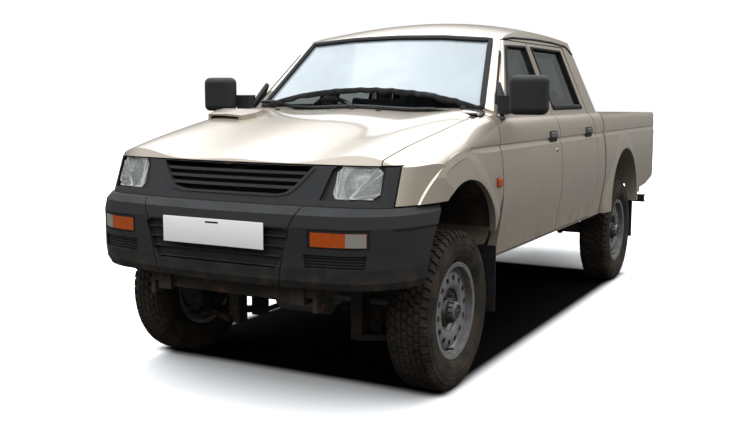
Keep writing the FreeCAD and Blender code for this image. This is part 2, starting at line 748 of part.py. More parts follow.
carrier = bay.common(shape_box(-690, 690, -640, -520, panel_low, FRONT_FACE_TOP - 6)).cut(grille_prism)
carrier = carrier.cut(xz_prism(((-280, 900), (280, 900), (280, 1100), (-280, 1100)), -800, -300))
panel_room = nose_outer.cut(bay).common(shape_box(-FRONT_FACE_X, FRONT_FACE_X, -FAR, -430, panel_low, FAR))
apron = shape_box(414, 426, -560, NOSE[-1][0], 580, 960).cut(panel_room)
liner = arch_cutter(0, 414, FAR, 20).cut(arch_cutter(0, 0, FAR, 14)).common(nose_volume(bonnet_gauge + SEAT_GAP))
buffer = shape_box(590, 612, -418, -396, 955, 1200).common(nose_volume(bonnet_gauge + SEAT_GAP))
liner = liner.common(shape_box(0, FAR, -500, NOSE[-1][0] - SEAM, 560, FAR))
liner = liner.cut(bumper_reach)
shelf_back = nose_volume(bonnet_gauge + SEAT_GAP).common(shape_box(414, FAR, -426, -380, 948, 960))
shelf = bay.common(shape_box(414, FAR, -520, -425, 948, 960)).fuse(shelf_back)
foot = shape_box(-426, 426, -560, -528, 580, 620)
tie = shape_box(400, 426, -560, -528, 580, 900)
radiator = shape_box(-405, 405, -545, -500, 612, 1000).cut(panel_room)
structure = carrier.fuse([radiator, apron, mirror_shape(apron), shelf, mirror_shape(shelf), liner,
                          mirror_shape(liner), buffer, mirror_shape(buffer), foot, tie,
                          mirror_shape(tie)])
structure_form = formed("structure_form", structure)
bumper_gauge = D.bumper_gauge.value
bumper = bumper_body(0)
bumper = bumper.cut(bumper_body(bumper_gauge))
bumper = bumper.cut(bumper_volume(bumper_gauge, 0, D.bumper_low.value + 60))
bumper = bumper.cut(bumper_volume(120, 0, FAR))
opening = xz_prism(BUMPER_OPENING, -900, -400)
bumper = bumper.cut(opening)
seam_width = 5
seam_ring = BUMPER_SEAM + tuple((x + seam_width, z) for x, z in reversed(BUMPER_SEAM))
seam = xz_prism(seam_ring, -820, -500).cut(bumper_body(6))
side_groove = bumper_volume(-20, 792, 803).cut(bumper_volume(5, 780, 810))
side_groove = side_groove.common(shape_box(700, FAR, -565, -290, 700, 900))
indicator_prism = xz_prism(INDICATOR, -820, -380)
bumper = bumper.cut([bumper_recess(FOG_RECESS, 16), bumper_recess(LAMP_RECESS, 5), bumper_recess(INDICATOR, 16),
                     seam, mirror_shape(seam), side_groove, mirror_shape(side_groove)])
rib_zone = bumper_volume(8, 600, 800).cut(bumper_volume(bumper_gauge - 4, 600, 800))
added = []
for rib_z in (656, 668, 680, 692):
    rib = rib_zone.common(shape_box(430, 690, -820, -380, rib_z - 3, rib_z + 3))
    added += [rib, mirror_shape(rib)]
bar_zone = bumper_volume(34, 600, 812).cut(bumper_volume(58, 600, 812))
for bar_z, bar_half in ((664, 10), (704, 7), (744, 10), (779, 7)):
    bar = bar_zone.common(shape_box(-385, 385, -900, -380, bar_z - bar_half, bar_z + bar_half))
    added.append(bar)
for post_x in (-376, -188, -8, 172, 360):
    post = bumper_volume(40, 600, 812).cut(bumper_volume(60, 600, 812))
    added.append(post.common(shape_box(post_x, post_x + 16, -900, -380, 610, 810)))
for side in (1, -1):
    leg_x = side * 355
    added.append(shape_box(leg_x - 25, leg_x + 25, -704, -640, 566, 590))
bumper = bumper.fuse(added).cut(arch_cutter(0, -FAR, FAR, SEAM))
indicator = indicator_prism.common(bumper_volume(1, 600, 900)).cut(bumper_volume(16, 600, 900))
bumper_form = formed("bumper_form", max(bumper.Solids, key=lambda solid: solid.Volume))

# cargo bed and tailgate
bed_front = D.bed_front.value
bed_rear = D.bed_rear.value
bed_rail = D.bed_rail.value
bed_floor = D.bed_floor.value
axle_gap = D.wheelbase.value
BED_SKIN = 72
GATE_X = 690
LOAD_HALF = 712
SILL_HALF = 545
SILL_WIDTH = 80


def bed_body(inset):
    """The bed's outside, square at the front and rounded at its rear corners."""
    body = side_prism(bed_front + inset, bed_rear - inset, inset)
    return body.common(shape_box(-FAR, FAR, 0, 2 * FAR, 0, bed_rail))


bed_outer = bed_body(0)
rear_flare = flare_ring(axle_gap, shape_box(700, FAR, bed_front + 5, bed_rear - 100, 545, 1080))
bed_outer = bed_outer.cut(SWAGE).fuse([rear_flare, mirror_shape(rear_flare)])
below_floor = side_prism(bed_front - 100, bed_rear + 100, BED_SKIN)
below_floor = below_floor.common(shape_box(-FAR, FAR, 0, 2 * FAR, 0, bed_floor - 30))
load_space = shape_box(-LOAD_HALF, LOAD_HALF, bed_front, bed_rear - 58, bed_floor - 31, FAR)
bed = bed_outer.cut([below_floor, load_space])
bed = bed.cut(shape_box(-GATE_X - SEAM, GATE_X + SEAM, bed_front - 1, bed_rear + 1, 0, FAR))
half_inner = D.half_width.value - BED_SKIN
bed_pan = shape_box(-half_inner, half_inner, bed_front, bed_rear, bed_floor - 30, bed_floor)
front_wall = bed_outer.common(shape_box(-FAR, FAR, bed_front, bed_front + 45, bed_floor - 30, bed_rail))
wheel_box = arch_cutter(axle_gap, 560, half_inner + 20, 22)
wheel_box = wheel_box.common(shape_box(0, FAR, bed_front, bed_rear, bed_floor - 30, FAR))
gate_prism = shape_box(-GATE_X, GATE_X, bed_rear - 45, bed_rear, bed_floor + SEAM, bed_rail)
gate_space = shape_box(-GATE_X - SEAM, GATE_X + SEAM, bed_rear - 58, bed_rear + 20, bed_floor - 10, FAR)
gate_axis = vector(-GATE_X - 20, bed_rear - 20, bed_floor + 22)
gate_rod = Part.makeCylinder(8, 2 * GATE_X + 40, gate_axis, X_AXIS)
gate_bore_at = vector(-GATE_X - 21, bed_rear - 20, bed_floor + 22)
gate_bore = Part.makeCylinder(8 + D.running_gap.value, 2 * GATE_X + 42, gate_bore_at, X_AXIS)
rail_crown = D.rail_low.value + D.rail_depth.value + D.rail_kick.value
sills = [shape_box(-SILL_HALF, SILL_HALF, y, y + SILL_WIDTH, rail_crown, bed_floor - 29)
         for y in (axle_gap - 390, axle_gap - SILL_WIDTH / 2, axle_gap + 310)]
bed = bed.fuse([bed_pan, front_wall, wheel_box, mirror_shape(wheel_box)] + sills)
bed = bed.cut(gate_space.fuse(arch_cutter(axle_gap, -FAR, FAR).cut(
    shape_box(-582, 582, -FAR, 2 * FAR, 0, FAR))))
tail_slope = yz_prism(((3400, 500), (3400, 610), (3800, 640), (4000, 690), (bed_rear + 20, 720), (bed_rear + 20, 500)),
                      GATE_X + 30, FAR)
corner_round = xy_prism(((790, bed_rear + 1), (815, bed_rear - 25), (835, bed_rear - 80), (848, bed_rear - 160),
                         (880, bed_rear - 160), (880, bed_rear + 1)), 500, 1400)
bed = bed.cut(tail_slope.fuse([corner_round, mirror_shape(tail_slope), mirror_shape(corner_round)]))
bed_form = formed("bed_form", bed.cut(gate_bore))
gate_panel = shape_box(-GATE_X + 70, GATE_X - 70, bed_rear - 9, bed_rear + 1, bed_floor + 110, bed_rail - 150)
gate_form = formed("gate_form", gate_prism.cut(gate_panel).fuse(gate_rod))
tail_ring = ((705, 800), (780, 800), (780, 990), (705, 990))
tail_lamp = xz_prism(tail_ring, bed_rear, bed_rear + 14)

# wheels
BEAD_GAP = 0.3


def wheel_parts(tag):
    """A left tyre and rim about the X axis, the wheel's middle plane at x = 0, outside towards +X."""
    half = D.tyre_half_width
    outer = D.tyre_radius
    bead = D.tyre_bead_radius
    seat = D.rim_well_radius + 24
    edge = D.rim_half_width
    tyre = turned(tag + "_tyre_form", (
        (-half + 40, seat + BEAD_GAP), (BEAD_GAP - edge + 5, seat + BEAD_GAP), (BEAD_GAP - edge + 5, D.rim_radius + 2),
        (-half + 8, bead + 30), (-half, bead + 66), (-half + 3, outer - 46), (-half + 12, outer - 18),
        (-half + 22, outer - 5), (-half + 40, outer), (half - 40, outer), (half - 22, outer - 5),
        (half - 12, outer - 18), (half - 3, outer - 46), (half, bead + 66), (half - 8, bead + 30),
        (edge - 5 - BEAD_GAP, D.rim_radius + 2), (edge - 5 - BEAD_GAP, seat + BEAD_GAP), (half - 40, seat + BEAD_GAP),
        (half - 36, bead + 20), (half - 16, bead + 60), (half - 20, outer - 48), (half - 44, outer - 20),
        (-half + 44, outer - 20), (-half + 20, outer - 48), (-half + 16, bead + 60), (-half + 36, bead + 20),
    ))
    flange = D.rim_radius
    well = D.rim_well_radius
    gauge = D.rim_gauge
    rim = turned(tag + "_rim_form", (
        (-edge, flange), (-edge + 4, flange), (-edge + 5, seat), (-edge + 30, seat), (-edge + 46, well),
        (edge - 56, well), (edge - 38, seat), (edge - 5, seat), (edge - 4, flange), (edge, flange),
        (edge, flange - gauge), (edge - 2, seat - gauge), (edge - 36, seat - gauge),
        (edge - 54, well - gauge), (-edge + 44, well - gauge), (-edge + 28, seat - gauge),
        (-edge + 2, seat - gauge), (-edge, flange - gauge),
    ))
    face = D.disc_face
    disc = turned(tag + "_disc_form", (
        (face - 18, D.hub_radius - 20), (face - 18, 96), (face, 116), (face - 3, 134), (face - 20, 158),
        (face - 30, well - 2), (face - 37, well - 2), (face - 27, 155), (face - 10, 131), (face - 8, 118),
        (face - 26, 99), (face - 26, D.hub_radius - 20),
    ))
    hole = disc.newObject("Sketcher::SketchObject", tag + "_hole")
    hole.AttachmentSupport = [(origin_feature(disc, "YZ_Plane"), "")]
    hole.MapMode = "FlatFace"
    low = D.disc_hole_circle - D.disc_hole_reach / 2
    high = D.disc_hole_circle + D.disc_hole_reach / 2 - D.disc_hole_radius
    radius = float(D.disc_hole_radius)
    top = Part.Circle(FreeCAD.Vector(0, float(high), 0), Z_AXIS, radius)
    bottom = Part.Circle(FreeCAD.Vector(0, float(low), 0), Z_AXIS, radius)
    hole.addGeometry(Part.ArcOfCircle(top, 0, math.pi), False)
    hole.addGeometry(Part.ArcOfCircle(bottom, math.pi, 2 * math.pi), False)
    hole.addGeometry(Part.LineSegment(FreeCAD.Vector(-radius, float(high), 0),
                                      FreeCAD.Vector(-radius, float(low), 0)), False)
    hole.addGeometry(Part.LineSegment(FreeCAD.Vector(radius, float(low), 0),
                                      FreeCAD.Vector(radius, float(high), 0)), False)
    for first, first_end, second, second_end in ((0, 2, 2, 1), (2, 2, 1, 1), (1, 2, 3, 1), (3, 2, 0, 1)):
        hole.addConstraint(Sketcher.Constraint("Tangent", first, first_end, second, second_end))
    for arc_index, height in ((0, high), (1, low)):
        number = hole.addConstraint(Sketcher.Constraint("Radius", arc_index, radius))
        hole.setExpression(f"Constraints[{number}]", D.disc_hole_radius.text)
        hole.addConstraint(Sketcher.Constraint("PointOnObject", arc_index, 3, -2))
        number = hole.addConstraint(Sketcher.Constraint("DistanceY", -1, 1, arc_index, 3, float(height)))
        hole.setExpression(f"Constraints[{number}]", height.text)
    doc.recompute()
    pocket = disc.newObject("PartDesign::Pocket", tag + "_holes")
    pocket.Profile = hole
    pocket.Type = "ThroughAll"
    pocket.Midplane = True
    disc.Tip = pocket
    pattern = disc.newObject("PartDesign::PolarPattern", tag + "_ring")
    pattern.Originals = [pocket]
    pattern.Axis = (origin_feature(disc, "X_Axis"), [""])
    pattern.Angle = FULL_TURN
    bind(pattern, "Occurrences", D.disc_holes)
    disc.Tip = pattern
    bore = D.spindle_radius + D.running_gap
    nose = D.hub_nose
    hub = turned(tag + "_hub_form", (
        (-62, bore), (-62, 60), (-30, 60), (-30, D.brake_radius), (-30 + D.brake_gauge, D.brake_radius),
        (-30 + D.brake_gauge, 60), (face - 22, 60), (face - 22, D.hub_radius),
        (nose - 34, D.hub_radius - 8), (nose - 6, D.hub_radius - 14), (nose, D.hub_radius - 22), (nose, 0),
        (44, 0), (44, bore),
    ))
    return tyre, fuse(tag + "_rim_and_hub", [rim, disc, hub])


FRONT_X = D.track_front / 2
REAR_X = D.track_rear / 2
AXLE_Z = D.tyre_radius
doc.recompute()


def clone_at(label, source, at):
    """The source's solid moved to a point; the source stays at the origin."""
    copy = doc.addObject("Part::Compound", label)
    copy.Links = [source]
    return place(copy, at)


tyre_form, rim_form = wheel_parts("wheel")
for end, x, y in (("front", FRONT_X, FRONT_AXLE), ("rear", REAR_X, REAR_AXLE)):
    left_tyre = clone_at(end + "_tyre_at", tyre_form, (x, y, AXLE_Z))
    left_rim = clone_at(end + "_rim_at", rim_form, (x, y, AXLE_Z))
    node(end + "_left_tyre", left_tyre)
    node(end + "_left_wheel", left_rim)
    node(end + "_right_tyre", mirrored(end + "_tyre_mirror", left_tyre))
    node(end + "_right_wheel", mirrored(end + "_rim_mirror", left_rim))

# front axle and steering
PIN_X = D.kingpin_x
low_eye_z = AXLE_Z - 160
high_eye_z = AXLE_Z + 135
eye_height = 28
upright = block("upright", (PIN_X - 12, FRONT_AXLE - 28, AXLE_Z - 128), (44, 56, 258))
spindle = rod("spindle", (PIN_X + 10, FRONT_AXLE, AXLE_Z), "x", D.spindle_radius, FRONT_X - PIN_X + 30)
low_pin = rod("low_pin", (PIN_X, FRONT_AXLE, low_eye_z - 2), "z", D.kingpin_radius, 40)
high_pin = rod("high_pin", (PIN_X, FRONT_AXLE, high_eye_z - 10), "z", D.kingpin_radius, 40)
arm = block("steer_arm", (PIN_X - 30, FRONT_AXLE + 10, AXLE_Z - 60), (34, D.steer_arm + 6, 16))
knuckle = fuse("knuckle_form", [upright, spindle, low_pin, high_pin, arm])
node("left_knuckle", knuckle)
node("right_knuckle", mirrored("knuckle_mirror", knuckle))

rail_inner = D.rail_outer - D.rail_width


def wishbone(tag, eye_z, spread, root):
    """A left wishbone: a plate from the frame rail out to the kingpin's eye."""
    plate = padded(tag + "_plate", "XY_Plane", (
        (root, FRONT_AXLE - spread), (PIN_X - 6, FRONT_AXLE - 26),
        (PIN_X - 6, FRONT_AXLE + 26), (root, FRONT_AXLE + spread),
        (root, FRONT_AXLE + spread - 52), (PIN_X - 84, FRONT_AXLE),
        (root, FRONT_AXLE - spread + 52),
    ), eye_z, eye_height)
    eye = rod(tag + "_eye", (PIN_X, FRONT_AXLE, eye_z), "z", D.kingpin_radius + 14, eye_height)
    hole = rod(tag + "_hole", (PIN_X, FRONT_AXLE, eye_z - OVERRUN), "z", D.kingpin_radius + D.running_gap,
               eye_height + 2 * OVERRUN)
    return cut(tag + "_form", fuse(tag + "_solid", [plate, eye]), hole)


low_bone = wishbone("low_bone", low_eye_z, 150, D.rail_outer - 20)
high_bone = wishbone("high_bone", high_eye_z, 110, D.rail_outer)
torsion = rod("torsion_bar", (rail_inner + 20, FRONT_AXLE + 60, low_eye_z + 14), "y", 13, 900)
hanger_height = D.rail_low + 40 - (low_eye_z - 4)
hangers = [block(f"low_hanger_{index}", (rail_inner + 5, y, low_eye_z - 4), (60, 70, hanger_height))
           for index, y in enumerate((FRONT_AXLE - 130, FRONT_AXLE + 60))]
side_suspension = doc.addObject("Part::Compound", "suspension_side")
side_suspension.Links = [fuse("low_suspension", [low_bone, torsion] + hangers), high_bone]
node("front_suspension", both_sides("suspension_pair", side_suspension))

link_rod = rod("steer_link", (-(PIN_X - 40), FRONT_AXLE + D.steer_arm, AXLE_Z - 84), "x", 12,
               (PIN_X - 40) * 2)
node("steering_link", link_rod)
front_diff = fuse("front_diff_form", [
    rod("front_diff_case", (-130, FRONT_AXLE, AXLE_Z), "x", 92, 260),
    rod("front_shafts", (-(PIN_X - 40), FRONT_AXLE, AXLE_Z), "x", 17, (PIN_X - 40) * 2),
    rod("front_boot_left", (PIN_X - 120, FRONT_AXLE, AXLE_Z), "x", 38, 80),
    rod("front_boot_right", (-(PIN_X - 40), FRONT_AXLE, AXLE_Z), "x", 38, 80),
    block("front_diff_mount", (-150, FRONT_AXLE - 60, AXLE_Z - 20), (300, 120, D.rail_low + 62 - AXLE_Z)),
    block("pinion_housing", (100, FRONT_AXLE, AXLE_Z - 35), (86, 110 - BEAD_GAP, 50)),
])
node("front_differential", front_diff)

# frame
rail_low = D.rail_low
rail_top = rail_low + D.rail_depth
kick = D.rail_kick
frame_front = FRONT_AXLE - 640
frame_rear = REAR_AXLE + 1130
rail = padded("rail", "YZ_Plane", (
    (frame_front, rail_low + 40), (FRONT_AXLE + 280, rail_low + 40), (FRONT_AXLE + 420, rail_low - 10),
    (REAR_AXLE - 550, rail_low - 10), (REAR_AXLE - 380, rail_low + kick), (REAR_AXLE + 420, rail_low + kick),
    (REAR_AXLE + 640, rail_low + 40), (frame_rear, rail_low + 40), (frame_rear, rail_top + 30),
    (REAR_AXLE + 640, rail_top + 30), (REAR_AXLE + 400, rail_top + kick), (REAR_AXLE - 400, rail_top + kick),
    (REAR_AXLE - 570, rail_top - 20), (FRONT_AXLE + 430, rail_top - 20), (FRONT_AXLE + 290, rail_top + 30),
    (frame_front, rail_top + 30),
), rail_inner, D.rail_width)
cross_span = rail_inner * 2 + 20
cross_start = -(rail_inner + 10)
crosses = [
    block(f"cross_{index}", (cross_start, y, z), (cross_span, 80, 60))
    for index, (y, z) in enumerate((
        (frame_front + 20, rail_low + 50), (FRONT_AXLE + 1230, rail_low), (REAR_AXLE - 760, rail_low),
        (REAR_AXLE + 620, rail_low + 60), (frame_rear - 90, rail_low + 50),
    ))
]
saddle = block("front_saddle", (cross_start, FRONT_AXLE - 60, rail_low + 42), (cross_span, 120, 50))
tow_gauge = 20
tow_stand_off = 35
tow_x = D.rail_outer + tow_stand_off
tow_bracket = block("tow_bracket", (D.rail_outer - 1, frame_front + 15, rail_low + 70),
                    (tow_stand_off + tow_gauge, 80, 45))
tow_drop = block("tow_drop", (tow_x, frame_front + 15, rail_low + 10), (tow_gauge, 80, 70))
tow_hole = rod("tow_hole", (tow_x - OVERRUN, frame_front + 50, rail_low + 42), "x", 14, tow_gauge + 2 * OVERRUN)
outriggers = [
    block(f"outrigger_{index}", (D.rail_outer - 1, y, z), (250, 70, D.sill_low + 40 - z))
    for index, (y, z) in enumerate(((FRONT_AXLE + 620, rail_low + 40), (FRONT_AXLE + 1750, rail_low + 40)))
]
tow_solid = cut("tow_eye", fuse("tow_plate", [tow_bracket, tow_drop]), tow_hole)
half_frame = fuse("half_frame", [rail, tow_solid] + outriggers)
node("chassis_frame", fuse("frame_form", [half_frame, mirrored("half_frame_mirror", half_frame)]
                           + crosses + [saddle]))

# engine, gearbox, drive
engine = fuse("engine_form", [
    block("engine_block", (-190, FRONT_AXLE - 300, rail_low + 110), (380, 640, 440)),
    block("engine_sump", (-120, FRONT_AXLE + 120, rail_low - 45), (240, 220, 170)),
    block("gearbox_case", (-120, FRONT_AXLE + 320, rail_low - 45), (240, 760, 150)),
    block("transfer_case", (-60, FRONT_AXLE + 960, rail_low - 110), (360, 240, 180)),
])
node("engine_and_gearbox", engine)
prop_z = AXLE_Z + 20
propshafts = doc.addObject("Part::Compound", "propshaft_form")
propshafts.Links = [
    rod("rear_propshaft", (0, FRONT_AXLE + 1200 + BEAD_GAP, prop_z), "y", 36,
        D.wheelbase - 1380 - 2 * BEAD_GAP),
    rod("front_propshaft", (160, FRONT_AXLE + 110, AXLE_Z - 10), "y", 26, 850 - BEAD_GAP),
]
node("propeller_shafts", propshafts)
axle = fuse("rear_axle_form", [
    rod("axle_tube", (-(REAR_X - 64), REAR_AXLE, AXLE_Z), "x", 42, (REAR_X - 64) * 2),
    rod("axle_spindles", (-(REAR_X + 40), REAR_AXLE, AXLE_Z), "x", D.spindle_radius, (REAR_X + 40) * 2),
    rod("axle_case", (0, REAR_AXLE + 110, AXLE_Z), "y", 118, 60),
    rod("axle_case_front", (0, REAR_AXLE - 180, AXLE_Z), "y", 118, 300),
])
node("rear_axle", axle)
spring = padded("spring_form", "YZ_Plane", (
    (REAR_AXLE - 620, rail_low + 40), (REAR_AXLE - 300, AXLE_Z + 70), (REAR_AXLE, AXLE_Z + 42),
    (REAR_AXLE + 300, AXLE_Z + 70), (REAR_AXLE + 620, rail_low + 50), (REAR_AXLE + 620, rail_low + 64),
    (REAR_AXLE + 300, AXLE_Z + 96), (REAR_AXLE, AXLE_Z + 84), (REAR_AXLE - 300, AXLE_Z + 96),
    (REAR_AXLE - 620, rail_low + 54),
), D.rail_outer + 45, 60)
spring_ends = [
    block(f"spring_end_{index}", (D.rail_outer, y, rail_low + 20), (110, 50, 90))
    for index, y in enumerate((REAR_AXLE - 650, REAR_AXLE + 600))
]
node("leaf_springs", both_sides("spring_pair", fuse("spring_side", [spring] + spring_ends)))
tank = block("tank_form", (rail_inner - 252, FRONT_AXLE + 1450, rail_low - 70), (252, 620, 178))
node("fuel_tank", tank)
exhaust_x = -220 - BEAD_GAP
exhaust_z = rail_low - 62
exhaust = fuse("exhaust_form", [
    rod("exhaust_pipe", (exhaust_x, FRONT_AXLE + 250, exhaust_z), "y", 26, 2250),
    rod("exhaust_box", (exhaust_x, FRONT_AXLE + 1500, exhaust_z), "y", 75, 600),
    block("exhaust_flange", (exhaust_x - 30, FRONT_AXLE + 250, exhaust_z - 20), (60, 70, 240)),
])
node("exhaust", exhaust)
damper_rod = rod("rear_damper", (D.rail_outer + 20 + BEAD_GAP, REAR_AXLE - 90, AXLE_Z - 40), "z", 20, 300)
damper_foot = block("damper_foot", (D.rail_outer + 12, REAR_AXLE - 110, AXLE_Z - 10), (30, 68 - BEAD_GAP, 20))
node("rear_dampers", both_sides("damper_pair", fuse("damper_side", [damper_rod, damper_foot])))

# body nodes
node("cab_shell", cab_form)
node("fixed_glass", screen_form)
node("bonnet", bonnet_form)
node("front_wings", wing_form)
node("front_panel", panel_form)
node("front_structure", structure_form)
node("front_bumper", bumper_form)
node("headlamps", both_sides("lens_pair", formed("lens_form", lens)))
node("indicators", both_sides("indicator_pair", formed("indicator_form", indicator)))
node("cargo_bed", bed_form)
node("tailgate", gate_form)
node("tail_lamps", both_sides("tail_pair", formed("tail_form", tail_lamp)))
for name, form, glass in (("front", front_door, front_pane), ("rear", rear_door, rear_pane)):
    node(f"{name}_left_door", form)
    node(f"{name}_right_door", mirrored(f"{name}_door_mirror", form))
    node(f"{name}_left_window", glass)
    node(f"{name}_right_window", mirrored(f"{name}_window_mirror", glass))


def door_mirror():
    """The left door mirror: its rounded head, turned out, and its foot seated on the door."""
    box = Part.makeBox(MIRROR_WIDTH, MIRROR_DEPTH, MIRROR_HEIGHT)
    box.translate(vector(D.half_width.value - MIRROR_OVERHANG, MIRROR_FRONT, D.belt_height.value + MIRROR_LIFT))
    head = formed("mirror_head", box.makeFillet(MIRROR_ROUND, box.Edges))
    foot = block("mirror_foot", (D.half_width - 92, FRONT_AXLE + 585, D.belt_height + 8), (90, 60, 90))
    return cut("mirror_form", fuse("mirror_solid", [head, foot]), formed("mirror_seat", cab_volume(0)))


MIRROR_HEIGHT = 192
MIRROR_WIDTH = 190
MIRROR_DEPTH = 95
MIRROR_ROUND = 34
MIRROR_OVERHANG = 12
MIRROR_FRONT = 500
MIRROR_LIFT = 5
mirror_form = door_mirror()
node("left_mirror", mirror_form)
node("right_mirror", mirrored("right_mirror_mirror", mirror_form))
beam_bar = block("beam_bar", (-745, D.overall_length / 2 - 60, 450), (1490, 60, 60))
beam_hollow = block("beam_hollow", (-745 - OVERRUN, D.overall_length / 2 - 53, 457), (1490 + 2 * OVERRUN, 60, 46))
beam = cut("beam", beam_bar, beam_hollow)
beam_legs = [block(f"beam_leg_{side}", (x, frame_rear, 472), (30, D.overall_length / 2 - frame_rear - 50, 30))
             for side, x in (("left", 330), ("right", -360))]
node("rear_beam", fuse("beam_form", [beam] + beam_legs))
flaps = [block(f"flap_{index}", (x, y, low), (190, 8, high - low))
         for index, (x, y, low, high) in enumerate((
             (D.half_width - 225, FRONT_AXLE + 442, 270, 600),
             (D.half_width - 235, REAR_AXLE + 470, 255, 545)))]
flap_pair = doc.addObject("Part::Compound", "flap_side")
flap_pair.Links = flaps
node("mud_flaps", both_sides("flap_set", flap_pair))

# cabin
floor = D.sill_low + 125
dash = padded("dash_form", "YZ_Plane", (
    (FRONT_AXLE + 530, 1235), (FRONT_AXLE + 530, 900), (FRONT_AXLE + 700, 860), (FRONT_AXLE + 800, 1000),
    (FRONT_AXLE + 820, 1130), (FRONT_AXLE + 760, 1220),
), -690, 1380)
cabin_space = formed("cabin_space", cab_volume(D.cab_wall.value))
node("dashboard", common("dash_fitted", dash, cabin_space))


def seat(tag, low_x, width, front_y, back_y, back_top):
    """A seat with its cushion, raked back and foot as one closed solid."""
    return padded(tag, "YZ_Plane", (
        (FRONT_AXLE + front_y, floor), (FRONT_AXLE + back_y, floor), (FRONT_AXLE + back_y + 20, 860),
        (FRONT_AXLE + back_y + 110, back_top), (FRONT_AXLE + back_y + 20, back_top + 10),
        (FRONT_AXLE + back_y - 110, 900), (FRONT_AXLE + front_y, 925), (FRONT_AXLE + front_y - 20, 860),
    ), low_x, width)


front_seat = seat("front_seat_form", 110, 500, 1010, 1440, 1490)
node("front_seats", both_sides("front_seat_pair", front_seat))
node("rear_seat", seat("rear_seat_form", -600, 1200, 1780, 2110, 1400))
wheel_x = -360
wheel_y = FRONT_AXLE + 920
wheel_z = 1150
column_tilt = 62
steering_ring = doc.addObject("Part::Torus", "steering_ring")
steering_ring.Radius1 = 186
steering_ring.Radius2 = 13
place(steering_ring, (wheel_x, wheel_y, wheel_z), (X_AXIS, -column_tilt))
spoke = doc.addObject("Part::Box", "steering_spoke")
spoke.Length = 372
spoke.Width = 40
spoke.Height = 16
spoke_turn = FreeCAD.Rotation(X_AXIS, -column_tilt)
corner = spoke_turn.multVec(FreeCAD.Vector(-186, -20, -8))
place(spoke, (wheel_x + corner.x, wheel_y + corner.y, wheel_z + corner.z), (X_AXIS, -column_tilt))
shaft = doc.addObject("Part::Cylinder", "steering_shaft")
shaft.Radius = 24
shaft.Height = 101
low_end = spoke_turn.multVec(FreeCAD.Vector(0, 0, -101))
place(shaft, (wheel_x, wheel_y + low_end.y, wheel_z + low_end.z), (X_AXIS, -column_tilt))
node("steering_wheel", fuse("steering_wheel_form", [steering_ring, spoke, shaft]))

# hand over
doc.recompute()
for thing in doc.Objects:
    bad = [state for state in thing.State if state in ("Invalid", "Error")]
    if bad:
        raise RuntimeError(f"{thing.Name} is {bad}")
os.makedirs("parts", exist_ok=True)
for name, thing in NODES.items():
    shape = thing.Shape
    if shape.isNull() or not shape.isValid():
        raise RuntimeError(f"{name} has no valid shape")
    shape.exportStep(f"parts/{name}.step")
    print(name, len(shape.Solids), round(shape.Volume / 1e6, 2))
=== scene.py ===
"""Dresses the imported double-cab pickup truck: finishes, road tread, trim, lamps, seats and a studio."""
import functools
import json
import logging
import math
from collections.abc import Iterable, Sequence
from dataclasses import dataclass, field
from enum import Enum

import bmesh
import bpy
from mathutils import Matrix, Vector, geometry
from mathutils.bvhtree import BVHTree

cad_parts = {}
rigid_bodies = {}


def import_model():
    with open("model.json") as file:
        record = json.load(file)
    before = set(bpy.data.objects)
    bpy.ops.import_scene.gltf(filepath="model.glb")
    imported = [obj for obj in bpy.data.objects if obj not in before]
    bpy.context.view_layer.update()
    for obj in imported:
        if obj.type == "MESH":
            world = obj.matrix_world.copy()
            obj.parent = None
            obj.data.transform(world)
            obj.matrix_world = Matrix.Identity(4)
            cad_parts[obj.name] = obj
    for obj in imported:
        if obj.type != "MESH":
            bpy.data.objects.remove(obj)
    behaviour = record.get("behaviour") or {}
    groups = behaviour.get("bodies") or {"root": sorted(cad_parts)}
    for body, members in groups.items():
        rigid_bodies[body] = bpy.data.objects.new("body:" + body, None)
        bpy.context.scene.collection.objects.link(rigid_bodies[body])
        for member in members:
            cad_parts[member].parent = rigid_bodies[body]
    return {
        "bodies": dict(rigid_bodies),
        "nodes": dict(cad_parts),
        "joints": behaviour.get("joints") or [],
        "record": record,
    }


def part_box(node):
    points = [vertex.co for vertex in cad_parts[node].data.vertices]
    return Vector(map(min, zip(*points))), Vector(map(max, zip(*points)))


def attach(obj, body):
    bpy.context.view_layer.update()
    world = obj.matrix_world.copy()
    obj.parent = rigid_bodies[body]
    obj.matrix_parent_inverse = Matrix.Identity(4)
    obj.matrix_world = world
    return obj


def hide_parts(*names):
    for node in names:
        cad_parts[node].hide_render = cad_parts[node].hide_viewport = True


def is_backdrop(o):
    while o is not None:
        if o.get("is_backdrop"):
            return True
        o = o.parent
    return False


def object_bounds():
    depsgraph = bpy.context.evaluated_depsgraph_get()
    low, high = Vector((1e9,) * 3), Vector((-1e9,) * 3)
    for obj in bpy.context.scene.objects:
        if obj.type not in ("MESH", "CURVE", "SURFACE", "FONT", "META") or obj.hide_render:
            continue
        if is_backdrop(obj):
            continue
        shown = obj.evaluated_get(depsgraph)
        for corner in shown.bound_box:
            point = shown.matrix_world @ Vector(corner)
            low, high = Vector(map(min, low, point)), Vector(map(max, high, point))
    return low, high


LOG = logging.getLogger("pickup")
Colour = tuple[float, float, float]
Point = tuple[float, float, float]
Pixel = tuple[float, float]
Profile = tuple[tuple[float, float], ...]


